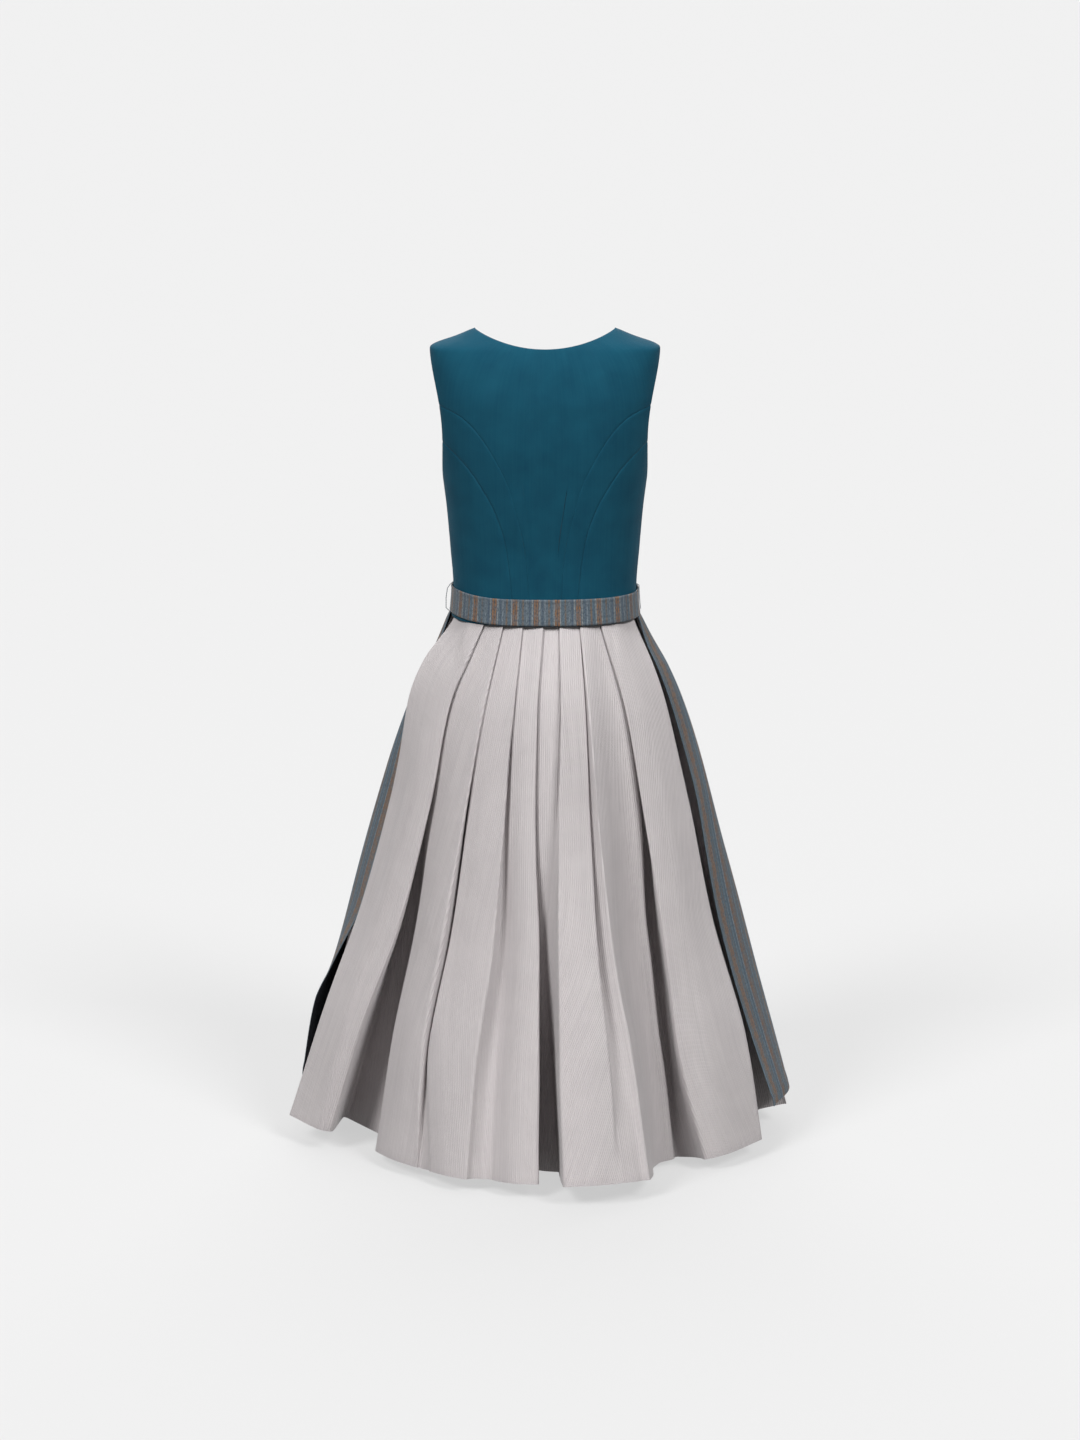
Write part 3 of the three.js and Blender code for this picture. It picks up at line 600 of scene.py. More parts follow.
@dataclass(frozen=True)
class ClothFinish:
    """A woven cloth's colours and surface.

    Attributes:
        name: the material's name.
        light: its colour where threads catch light.
        dark: its colour in the mottle and streaks.
        roughness: how matt it is.
        sheen: strength of the soft bright edge.
        threads: threads to the metre.
        ribs: strength of the woven ribs' relief and of the painted shade that follows them.
        streaks: how much the streaks along the threads show.
        relief: height of the threads in millimetres.
        shine: strength of the mirror-like reflection.
    """

    name: str
    light: Colour
    dark: Colour
    roughness: float = 0.85
    sheen: float = 0.25
    threads: float = 900.0
    ribs: float = 0.0
    streaks: float = 0.3
    relief: float = 0.15
    shine: float = 0.35

    def ground(self, shop: Shop) -> tuple[Socket, bpy.types.Node]:
        """Adds the coordinates and the weave.

        Args:
            shop: the material's nodes.

        Returns:
            The cloth coordinate and the weave group's node.
        """
        cloth = shop.add("ShaderNodeUVMap", uv_map="cloth").outputs[0]
        weave = shop.add("ShaderNodeGroup", node_tree=weave_group())
        shop.feed(weave, Cloth=cloth, Threads=self.threads, Ribs=self.ribs)
        return cloth, weave

    def colour(self, shop: Shop, cloth: Socket, weave: bpy.types.Node) -> Socket:
        """Gives the cloth's colour over its surface.

        Args:
            shop: the material's nodes.
            cloth: the cloth coordinate.
            weave: the weave group's node.

        Returns:
            The colour.
        """
        both = shop.maths("MULTIPLY", weave.outputs["Streaks"], self.streaks)
        both = shop.maths("MULTIPLY_ADD", weave.outputs["Mottle"], 1 - self.streaks, both)
        share = shop.between(both, 0.3, 0.7, 0.0, 1.0)
        return shop.blend(share, linear(self.dark), linear(self.light))

    def make(self) -> bpy.types.Material:
        """Builds the material.

        Returns:
            The material.
        """
        material = bpy.data.materials.new(self.name)
        material.use_nodes = True
        shop = Shop(material.node_tree)
        shader = material.node_tree.nodes["Principled BSDF"]
        cloth, weave = self.ground(shop)
        colour = self.colour(shop, cloth, weave)
        bump = shop.add("ShaderNodeBump")
        shop.feed(bump, Strength=BUMP_STRENGTH, Distance=self.relief * MM, Height=weave.outputs["Height"])
        matt, satin = self.roughness + ROUGHNESS_SPREAD, self.roughness - ROUGHNESS_SPREAD
        rough = shop.between(weave.outputs["Streaks"], 0.3, 0.7, matt, satin)
        shop.feed(shader, Base_Color=colour, Roughness=rough, Normal=bump.outputs[0])
        shader.inputs["Sheen Weight"].default_value = self.sheen
        shader.inputs["Sheen Roughness"].default_value = SHEEN_ROUGHNESS
        shader.inputs["Specular IOR Level"].default_value = self.shine
        return material


@dataclass(frozen=True)
class Stripe:
    """A stripe of the apron cloth: its middle and width in its repeat, its colour and how broken it is."""

    middle: float
    width: float
    colour: Colour
    broken: float


@dataclass(frozen=True)
class StripedFinish(ClothFinish):
    """Blue-grey cloth with stripes down its length.

    Attributes:
        repeat: millimetres from one repeat of the stripes to the next.
        shift: millimetres by which the stripes are moved across.
        stripes: the stripes in one repeat.
        borders: the broad stripes along both free edges, measured from the edge.
        cloth_width: millimetres from one free edge to the other.
    """

    repeat: float = 57.0
    shift: float = 0.0
    stripes: tuple[Stripe, ...] = (
        Stripe(14.25, 6.6, (134, 98, 68), 0.6),
        Stripe(42.75, 6.2, (136, 98, 66), 0.6),
        Stripe(14.25, 1.6, (84, 84, 84), 0.7),
        Stripe(42.75, 1.4, (88, 86, 84), 0.7),
        Stripe(3.25, 2.4, (112, 96, 82), 0.7),
        Stripe(25.25, 2.4, (108, 96, 84), 0.7),
        Stripe(9.9, 0.8, (160, 160, 156), 0.4),
        Stripe(18.5, 0.8, (154, 156, 154), 0.4),
        Stripe(37.6, 0.9, (156, 158, 156), 0.4),
        Stripe(47.8, 0.9, (158, 158, 156), 0.4),
        Stripe(30.2, 1.2, (112, 124, 134), 0.4),
        Stripe(34.4, 1.6, (70, 84, 102), 0.4),
        Stripe(51.8, 1.5, (74, 88, 104), 0.4),
        Stripe(54.8, 1.0, (128, 138, 148), 0.4),
        Stripe(21.9, 1.4, (78, 100, 114), 0.3),
        Stripe(6.6, 1.4, (76, 98, 114), 0.3),
    )
    borders: tuple[Stripe, ...] = ()
    cloth_width: float = APRON_WIDTH

    def colour(self, shop: Shop, cloth: Socket, weave: bpy.types.Node) -> Socket:
        """Gives the striped colour over the surface.

        Args:
            shop: the material's nodes.
            cloth: the cloth coordinate.
            weave: the weave group's node.

        Returns:
            The colour.
        """
        colour = super().colour(shop, cloth, weave)
        split = shop.add("ShaderNodeSeparateXYZ")
        shop.feed(split, Vector=cloth)
        across = shop.maths("MULTIPLY_ADD", split.outputs[0], 1 / MM, self.shift)
        turn = shop.maths("FLOORED_MODULO", across, self.repeat)
        flecks = shop.maths("MULTIPLY", shop.stretched(cloth, FLECKS), 0.4)
        gaps = shop.maths("MULTIPLY_ADD", shop.stretched(cloth, PATCHES), 0.6, flecks)
        right = shop.maths("MULTIPLY", split.outputs[0], 1 / MM)
        inward = shop.maths("MINIMUM", right, shop.maths("SUBTRACT", self.cloth_width, right))
        laid = [(turn, stripe) for stripe in self.stripes] + [(inward, stripe) for stripe in self.borders]
        for place, stripe in laid:
            away = shop.maths("ABSOLUTE", shop.maths("SUBTRACT", place, stripe.middle))
            half = stripe.width / 2
            edge = shop.between(away, half - STRIPE_BLUR, half + STRIPE_BLUR, 1.0, 0.0)
            solid = shop.between(gaps, 0.4, 0.56, 1 - stripe.broken, 1.0)
            colour = shop.blend(shop.maths("MULTIPLY", edge, solid), colour, linear(stripe.colour))
        dark = shop.between(shop.stretched(cloth, SPECKLE, 3.0), 0.38, 0.56, 0.55, 0.0)
        return shop.blend(dark, colour, linear(SPECKLE_DARK))


# Creases

CREASE_OVERRUN = 0.1


@dataclass(frozen=True)
class Crease:
    """A soft crease placed on the skirt's back or the bodice's.

    Attributes:
        start: x and z of its upper end.
        end: x and z of its lower end.
        width: how far it spreads on each side.
        height: how far it stands out, or sinks where it is negative.
    """

    start: Plan
    end: Plan
    width: float
    height: float

    def lift(self, x: float, z: float) -> float:
        """Gives how far the crease moves the cloth at a point.

        Args:
            x: the point's distance from the middle.
            z: its height.

        Returns:
            The movement along the cloth's normal.
        """
        dx, dz = self.end[0] - self.start[0], self.end[1] - self.start[1]
        length = math.hypot(dx, dz)
        along = ((x - self.start[0]) * dx + (z - self.start[1]) * dz) / length
        over = CREASE_OVERRUN
        if not -over * length < along < (1 + over) * length:
            return 0.0
        away = ((x - self.start[0]) * dz - (z - self.start[1]) * dx) / length
        fade = math.sin(math.pi * clamp01((along / length + over) / (1 + 2 * over))) ** 1.5
        return self.height * fade * bell(away, self.width)


def waist_creases() -> list[Crease]:
    """Gives the short pinches that the band makes in the bodice's back."""
    return [
        Crease((-118, -368), (-121, -392), 2.0, -1.2),
        Crease((-104, -372), (-107, -392), 2.2, -1.2),
        Crease((-91, -360), (-88, -392), 2.4, -1.6),
        Crease((-80, -376), (-78, -392), 2.2, -1.0),
        Crease((90, -362), (88, -392), 2.4, -1.5),
        Crease((101, -372), (104, -392), 2.2, -1.2),
        Crease((112, -366), (118, -392), 2.4, -0.8),
    ]


# Bodice


@dataclass(frozen=True)
class Place:
    """A place on the bodice: its angle from the middle of the back and its height."""

    angle: float
    z: float

    def flipped(self) -> "Place":
        """Gives the same place on the other side."""
        return Place(-self.angle, self.z)

    def point(self) -> Vector:
        """Gives the place as a point."""
        return BODY.point(self.angle, self.z)


def straight(a: Place, b: Place, count: int) -> list[Place]:
    """Gives count + 1 places evenly from a to b."""
    return [Place(mix(a.angle, b.angle, k / count), mix(a.z, b.z, k / count)) for k in range(count + 1)]


def flip(places: Sequence[Place]) -> list[Place]:
    """Gives the places on the other side."""
    return [p.flipped() for p in places]


# Height and distance from the middle of each seam, from the waist up
BACK_INNER_SEAM = (
    (-390, 21), (-328, 23), (-289, 27), (-243, 37), (-203, 48),
    (-168, 65), (-140, 82), (-119, 100), (-107, 117), (-98, 141),
)
BACK_SIDE_SEAM = (
    (-390, 42), (-336, 46), (-276, 54), (-234, 68), (-205, 84), (-182, 100), (-165, 116), (-148, 137),
)
FRONT_PRINCESS_SEAM = (
    (-390, 46), (-340, 52), (-290, 68), (-240, 84), (-200, 93), (-165, 102), (-138, 116), (-118, 137),
)
SEAM_STEPS = 400
STRIP_STEPS = 16
SIDE_STEPS = 30
SHOULDER_STEPS = 20
BACK_NECK_STEPS = 26
FRONT_NECK_STEPS = 34
BUST_Z = -150


@dataclass
class Bodice:
    """The bodice's nine panels.

    Attributes:
        outside: finish of the right side.
        inside: finish of the lining.
        thickness: of cloth and lining together.
        seam_dip: how deep the seams sit.
        seam_width: how wide the dip is on each side.
        neck_half: half the neckline's width.
        back_drop: how far the neckline falls at the back.
        front_drop: how far it falls at the front.
        tip_z: height of the shoulder tips.
        underarm_z: height of the armholes' lowest point.
        back_cut: degrees by which the armhole is cut into the back.
        front_cut: degrees by which it is cut into the front.
        seam_rows: rows of the mesh below the armhole.
        arm_rows: rows beside it.
        grain_round: radius in millimetres at which the cloth's grain is measured.
        creases: the pinches above the band.
    """

    outside: bpy.types.Material
    inside: bpy.types.Material
    thickness: float = 1.5
    seam_dip: float = 0.28
    seam_width: float = 1.2
    neck_half: float = 94.0
    back_drop: float = 22.0
    front_drop: float = 104.0
    tip_z: float = -26.0
    underarm_z: float = -207.0
    back_cut: float = 23.0
    front_cut: float = 27.0
    seam_rows: int = 60
    arm_rows: int = 34
    grain_round: float = 118.0
    creases: list[Crease] = field(default_factory=waist_creases)

    def seam(self, table: tuple[Plan, ...], front: bool) -> list[Place]:
        """Gives a seam's places from the waist to the armhole.

        Args:
            table: rows of height and distance from the middle.
            front: whether it lies in the front.

        Returns:
            The places, evenly spaced along the seam.
        """
        falling = table[::-1]
        x = Profile([row[0] for row in falling], [row[1] for row in falling])
        top = table[-1][0]
        heights = [mix(WAIST_Z, top, i / SEAM_STEPS) for i in range(SEAM_STEPS + 1)]
        fine = [Vector((x(z), z)) for z in heights]
        lengths = arc_lengths(fine)
        places = []
        at = 0
        for j in range(self.seam_rows + 1):
            target = lengths[-1] * j / self.seam_rows
            while at < SEAM_STEPS - 1 and lengths[at + 1] < target:
                at += 1
            share = clamp01((target - lengths[at]) / (lengths[at + 1] - lengths[at]))
            spot = fine[at].lerp(fine[at + 1], share)
            angle = BODY.angle_at(spot.x, spot.y)
            places.append(Place(180 - angle if front else angle, spot.y))
        return places

    def armhole(self, from_z: float, to_z: float, count: int, front: bool) -> list[Place]:
        """Gives the armhole's edge from one height up to another.

        Args:
            from_z: the lower height.
            to_z: the upper height.
            count: how many steps it has.
            front: whether it is cut into the front.

        Returns:
            The places.
        """
        places = []
        for j in range(count + 1):
            z = mix(from_z, to_z, j / count)
            s = clamp01((self.tip_z - z) / (self.tip_z - self.underarm_z))
            cut = math.sin(math.pi * s) ** 0.75
            places.append(Place(90 + self.front_cut * cut if front else 90 - self.back_cut * cut, z))
        return places

    def top(self, shoulder: int, neck: int, front: bool) -> list[Place]:
        """Gives the edge from the shoulder tip over the neck point to the middle.

        Args:
            shoulder: steps along the shoulder.
            neck: steps along the neckline.
            front: whether it is the front's.

        Returns:
            The places.
        """
        places = [Place(90, mix(self.tip_z, 0, k / shoulder)) for k in range(shoulder)]
        for k in range(neck + 1):
            turn = math.radians(90 * (k / neck) ** 1.35)
            x = self.neck_half * math.cos(turn)
            z = -self.front_drop * math.sin(turn) if front else -self.back_drop * math.sin(turn) ** 2
            angle = 90.0 if k == 0 else BODY.angle_at(x, z)
            places.append(Place(180 - angle if front else angle, z))
        return places

    def panel(self, left: list[Place], right: list[Place], bottom: list[Place], top: list[Place]) -> Grid:
        """Fills the panel between four edges.

        Args:
            left: the edge at the start of the rows, rising.
            right: the edge at their end, rising.
            bottom: the lower edge, anticlockwise.
            top: the upper edge, anticlockwise.

        Returns:
            The panel's points on the bodice's form.
        """
        height, width = len(left) - 1, len(bottom) - 1
        a, b, c, d = ([p.point() for p in edge] for edge in (left, right, bottom, top))

        def filled(j: int, k: int) -> Vector:
            """Gives one point of the panel."""
            u, v = k / width, j / height
            across = a[j].lerp(b[j], u)
            upward = c[k].lerp(d[k], v)
            corners = c[0].lerp(c[width], u).lerp(d[0].lerp(d[width], u), v)
            return BODY.place_of(across + upward - corners)

        return [[filled(j, k) for k in range(width + 1)] for j in range(height + 1)]

    def sewn(self, rows: Grid, seams: tuple[int, int], seed: float) -> Grid:
        """Sinks a panel's sewn edges, rolls its free ones and adds the cloth's small waves.

        Args:
            rows: the panel's points.
            seams: up to which row the first and the last column are seams.
            seed: keeps the waves of the panels apart.

        Returns:
            The finished points.
        """

        def lift(spot: Spot) -> float:
            """Gives how far a point of the panel moves."""
            x, y, z = spot.point
            total = 0.15 * noise.noise(Vector((x * 0.018, y * 0.018, z * 0.011 + seed)))
            for distance, last in ((spot.start, seams[0]), (spot.end, seams[1])):
                if spot.row <= last:
                    pucker = noise.noise(Vector((seed, z * 0.16, distance * 0.05)))
                    total += 0.2 * pucker * bell(distance, 7.0)
                    total -= self.seam_dip * bell(distance, self.seam_width)
                else:
                    total += 0.35 * bell(distance - 2.5, 2.5) - 0.4 * bell(distance, 0.8)
            if y < 0:
                gather = math.sin(x * 0.21 + seed) * bell(abs(x) - 88, 26)
                total += 0.4 * ease((-300 - z) / 60) * gather
                total += sum(crease.lift(x, z) for crease in self.creases)
            return total

        return lifted(rows, lift)

    def panels(self) -> dict[str, tuple[Grid, tuple[int, int]]]:
        """Cuts the panels.

        Returns:
            For each panel its points and up to which rows its two sides are seams.
        """
        inner = self.seam(BACK_INNER_SEAM, False)
        outer = self.seam(BACK_SIDE_SEAM, False)
        princess = self.seam(FRONT_PRINCESS_SEAM, True)
        underarm = straight(Place(90, WAIST_Z), Place(90, self.underarm_z), self.seam_rows)
        back_arm = [inner[-1], *self.armhole(inner[-1].z, self.tip_z, self.arm_rows, False)[1:]]
        back_right = [*inner, *back_arm[1:]]
        back_left = flip(back_right)
        half_top = self.top(SHOULDER_STEPS, BACK_NECK_STEPS, False)
        back_top = [*flip(half_top), *half_top[:-1][::-1]]
        back_waist = straight(back_left[0], back_right[0], len(back_top) - 1)
        inner_top = self.armhole(outer[-1].z, inner[-1].z, STRIP_STEPS, False)[::-1]
        inner_top[0], inner_top[-1] = inner[-1], outer[-1]
        side_top = self.armhole(self.underarm_z, outer[-1].z, SIDE_STEPS, False)[::-1]
        side_top[0] = outer[-1]
        front_side_top = self.armhole(self.underarm_z, princess[-1].z, SIDE_STEPS, True)
        front_side_top[-1] = princess[-1]
        front_arm = [princess[-1], *self.armhole(princess[-1].z, self.tip_z, self.arm_rows, True)[1:]]
        front_edge = [*princess, *front_arm[1:]]
        bust = Place(180, BUST_Z)
        middle = [
            *straight(Place(180, WAIST_Z), bust, self.seam_rows)[:-1],
            *straight(bust, Place(180, -self.front_drop), self.arm_rows),
        ]
        front_top = self.top(SHOULDER_STEPS, FRONT_NECK_STEPS, True)
        front_waist = straight(front_edge[0], middle[0], len(front_top) - 1)
        inner_waist = straight(inner[0], outer[0], STRIP_STEPS)
        side_waist = straight(outer[0], underarm[0], SIDE_STEPS)
        front_side_waist = straight(underarm[0], princess[0], SIDE_STEPS)
        below = self.seam_rows
        every = below + self.arm_rows
        whole = (every, every)
        return {
            "back_center": (self.panel(back_left, back_right, back_waist, back_top), (below, below)),
            "back_inner": (self.panel(inner, outer, inner_waist, inner_top), whole),
            "back_side": (self.panel(outer, underarm, side_waist, side_top), whole),
            "front_side": (self.panel(underarm, princess, front_side_waist, front_side_top), whole),
            "front_center": (self.panel(front_edge, middle, front_waist, front_top), (below, every)),
        }

    def build(self) -> None:
        """Makes the nine panels and dresses them."""
        for i, (name, (rows, seams)) in enumerate(self.panels().items()):
            if name == "back_center":
                self.finish(name, self.sewn(rows, seams, 3.0))
                continue
            self.finish(f"{name}_right", self.sewn(rows, seams, 7.0 + i))
            flipped = [[Vector((-p.x, p.y, p.z)) for p in row[::-1]] for row in rows]
            self.finish(f"{name}_left", self.sewn(flipped, seams[::-1], 17.0 + i))

    def finish(self, node: str, rows: Grid) -> None:
        """Makes one panel's cloth.

        Args:
            node: the frame's node that it stands for.
            rows: its middle surface.
        """
        across = []
        for row in rows:
            own = [self.grain_round * math.atan2(p.x, -p.y) for p in row]
            if own[-1] < own[0]:
                own = [u if u > 0 else u + self.grain_round * math.tau for u in own]
            across.append(list(zip(own, own[1:])))
        piece = Cloth(f"cloth_{node}", rows, across, self.thickness, True).build(self.outside, self.inside)
        declare(piece, node, rows)


# Skirt

LAYER = 2.0
LEVELS = (-390, -500, -640, -800, -960, -1108)
SWING = Profile(LEVELS, (0, 0.26, 0.45, 0.64, 0.83, 1))
SKIRT_DROP = 718.0

# Where the sides stand out over the hips, as shares of the way down
HIP_RISE, HIP_FALL, HIP_END = 0.08, 0.2, 0.28

# Roundings at waist and hem: the middle of a panel, a side seam, a pressed edge and a hidden turn
PANEL_SOFT = (60, 90)
SEAM_SOFT = (20, 20)
EDGE_SOFT = (0.9, 4.0)
TURN_SOFT = (1.2, 9.0)
SUNK_SOFT = (1.2, 5.0)

# Numbers of the folds whose edges the ribs follow
BACK_RIBS = (5, 12)
FRONT_RIBS = 40
MIDDLE_RIBS = 44
MIRROR_RIBS = 90
RIBS_APART = 137.0


def level_of(t: float) -> float:
    """Gives the height at a share of the way from the waist to the hem."""
    return WAIST_Z - SKIRT_DROP * t


@dataclass(frozen=True)
class Line:
    """A line of the skirt from 0 at the waist to 1 at the hem.

    Attributes:
        at: gives its place in plan.
        soft: how far from the line its fold is rounded, at the waist and at the hem.
        fold: the number of the fold whose edge the cloth's ribs follow.
        flat: its place were its panel flat, where that differs.
        edge: whether it is a pleat's own edge.
    """

    at: Course
    soft: tuple[float, float]
    fold: int
    flat: Course | None = None
    edge: bool = False

    def course(self, t: float) -> Plan:
        """Gives the line's place before its panel sinks towards the fold."""
        return (self.flat or self.at)(t)


@dataclass(frozen=True)
class Fold:
    """A fold of the skirt's back, with the frame's own values.

    Attributes:
        x: distance from the middle at each level.
        hem_y: its place front to back at the hem.
        bow: how far it bows between waist and hem.
        side: 1 or -1 for a pleat whose top panel lies at -X or +X, 0 for a crease.
        layer: how many layers it lies back at the waist.
        open: gap to the next panel.
        behind: how far the next panel starts behind the edge.
        deep: how far the hidden turn lies behind the top panel.
        reach: how far that turn lies back from the edge at waist, middle and hem.
        spread: share of the gap that the turn takes up at the hem.
        sink: how much deeper the next panel starts than its flat course.
        soft: rounding at waist and hem.
        swell: how far it stands out sideways over the hips.
        ribs: the number of the fold whose edge its ribs follow, or none for its own.
    """

    name: str
    x: tuple[float, ...]
    hem_y: float
    bow: float
    side: int = 0
    layer: float = 0.0
    open: tuple[float, ...] = ()
    behind: tuple[float, ...] = ()
    deep: tuple[float, ...] = ()
    reach: tuple[float, ...] = ()
    spread: float = 0.4
    sink: tuple[float, ...] = (0, 0, 0, 0, 0)
    soft: tuple[float, float] = (1.5, 7.0)
    swell: float = 0.0
    ribs: int | None = None


def back_folds() -> list[Fold]:
    """Gives the folds of the back from the wearer's left to right."""
    return [
        Fold("left back", (-102, -148, -186, -230, -286, -329), -13, 9, layer=4.2, soft=(3, 12)),
        Fold("left under", (-104, -150, -188, -232, -288, -332), -16, 7, layer=2.9, soft=(2, 8)),
        Fold("left turned", (-123, -176, -210, -253, -309, -355), -44, 3, layer=1, swell=9, soft=(1, 6)),
        Fold("left edge", (-124, -180, -213, -256, -313, -361), -54, -4, swell=9, soft=(2, 8)),
        Fold("left panel", (-102, -150, -186, -230, -284, -322), -92, -8, soft=(9, 26)),
        Fold(
            "P1", (-83, -130, -158, -199, -255, -297), -103, -17, 1,
            open=(1, 5, 21, 42, 62), behind=(4.6, 6, -8, -27, -45), deep=(9, 24, 52, 70, 74),
            reach=(18, 34, 20), spread=0.85, sink=(2, 3, 3, 3, 3), soft=(1.5, 6),
        ),
        Fold(
            "P2", (-57, -84, -110, -139, -167, -174), -207, -4, 1,
            open=(0.5, 4, 9, 6, 16), behind=(4.6, 4, 3, -2, -16), deep=(6, 18, 34, 12, 4),
            reach=(18, 18, -4), spread=0.6, sink=(1, 3, 4, 4, 1), soft=(1.5, 9),
        ),
        Fold(
            "P3", (-30.6, -43, -55, -70, -94, -106), -260, -4, 1,
            open=(0.5, 6, 19, 29, 30), behind=(4.6, 3.5, 0, -4, -14), deep=(5, 8, 11, 10, 7),
            reach=(18, 4, -10), spread=0.4, sink=(1, 4, 8, 14, 16), soft=(1.5, 9),
        ),
        Fold(
            "P4", (-2.5, -11, -14, -9, -8.5, -8), -281, -3, 1,
            open=(-2, -4, -8, -11, -14), behind=(7, 12, 32, 75, 107), deep=(4, 6, 16, 38, 50),
            reach=(18, 14, 18), spread=0.3, soft=(1.5, 7),
        ),
        Fold(
            "P5", (20, 22, 18, 18, 18.5, 24), -314, -2, -1,
            open=(2, 6, 17, 8, 4), behind=(7, 12, 42, 92, 122), deep=(4, 6, 15, 36, 55),
            reach=(18, 0, 3), spread=0.3, soft=(1.5, 6),
        ),
        Fold(
            "P6", (47.6, 60, 72, 90, 119, 140), -284, -4, -1,
            open=(5, 8, 15, 24, 38), behind=(4, 2, -11, -18, -22), deep=(8, 15, 22, 15, 10),
            reach=(4, 3, -9), spread=0.5, sink=(1, 3, 5, 8, 8), soft=(1.5, 9),
        ),
        Fold("P6 return", (57, 79, 94, 105, 130, 146), -196, -14, layer=0.6, soft=(4, 30), ribs=10),
        Fold("P6 hollow", (64, 92, 108, 121, 143, 158), -164, -10, layer=1.2, soft=(4, 22), ribs=10),
        Fold(
            "P7", (76, 110, 135, 161, 182, 219), -180, -12, -1,
            open=(2.5, 6, 20, 20, 40), behind=(6, 12, 18, 17, 21), deep=(9, 26, 44, 42, 24),
            reach=(18, 20, 2), spread=0.7, sink=(1, 1, 2, 3, 5), soft=(1.5, 6),
        ),
        Fold("right panel", (97, 133, 166, 196, 232, 262), -158, -10, soft=(9, 26)),
        Fold("right edge", (121, 163, 197, 231, 278, 302), -118, -4, swell=2, soft=(2, 8)),
        Fold("right turned", (120, 161, 195, 229, 275, 299), -108, 2, layer=1, swell=2, soft=(1, 6)),
        Fold("right under", (103, 146, 180, 216, 262, 292), -42, 5, layer=2.9, soft=(2, 8)),
        Fold("right back", (101, 144, 178, 214, 260, 290), -38, 8, layer=4.2, soft=(3, 12)),
    ]


@dataclass(frozen=True)
class SidePleat:
    """A pleat of the sides and front: its angle at waist and hem and its depth."""

    waist: float
    hem: float
    deep: float

    def angle(self, t: float) -> float:
        """Gives its angle at a share of the way down."""
        return mix(self.waist, self.hem, t)


def skirt_creases() -> list[Crease]:
    """Gives the creases that the skirt's back shows between its folds."""
    return [
        Crease((82, -402), (93, -422), 3.0, 1.6),
        Crease((86, -400), (98, -428), 2.6, -1.6),
        Crease((92, -404), (108, -450), 4.0, 1.2),
        Crease((-112, -402), (-132, -455), 6.0, -2.0),
        Crease((-96, -402), (-118, -480), 6.0, 1.4),
        Crease((-70, -410), (-104, -620), 9.0, 0.9),
        Crease((-45, -420), (-70, -700), 9.0, -0.8),
        Crease((-22, -430), (-34, -800), 9.0, 0.8),
        Crease((32, -420), (44, -760), 8.0, -0.9),
        Crease((90, -470), (112, -700), 10.0, 2.0),
        Crease((100, -620), (122, -900), 14.0, -2.2),
        Crease((-170, -640), (-225, -960), 16.0, 1.6),
        Crease((-130, -760), (-160, -1080), 14.0, 1.6),
        Crease((-70, -760), (-88, -1080), 15.0, 1.8),
        Crease((-30, -800), (-36, -1100), 14.0, -1.6),
        Crease((60, -760), (84, -1080), 16.0, 1.8),
        Crease((160, -700), (215, -1040), 16.0, -1.6),
    ]


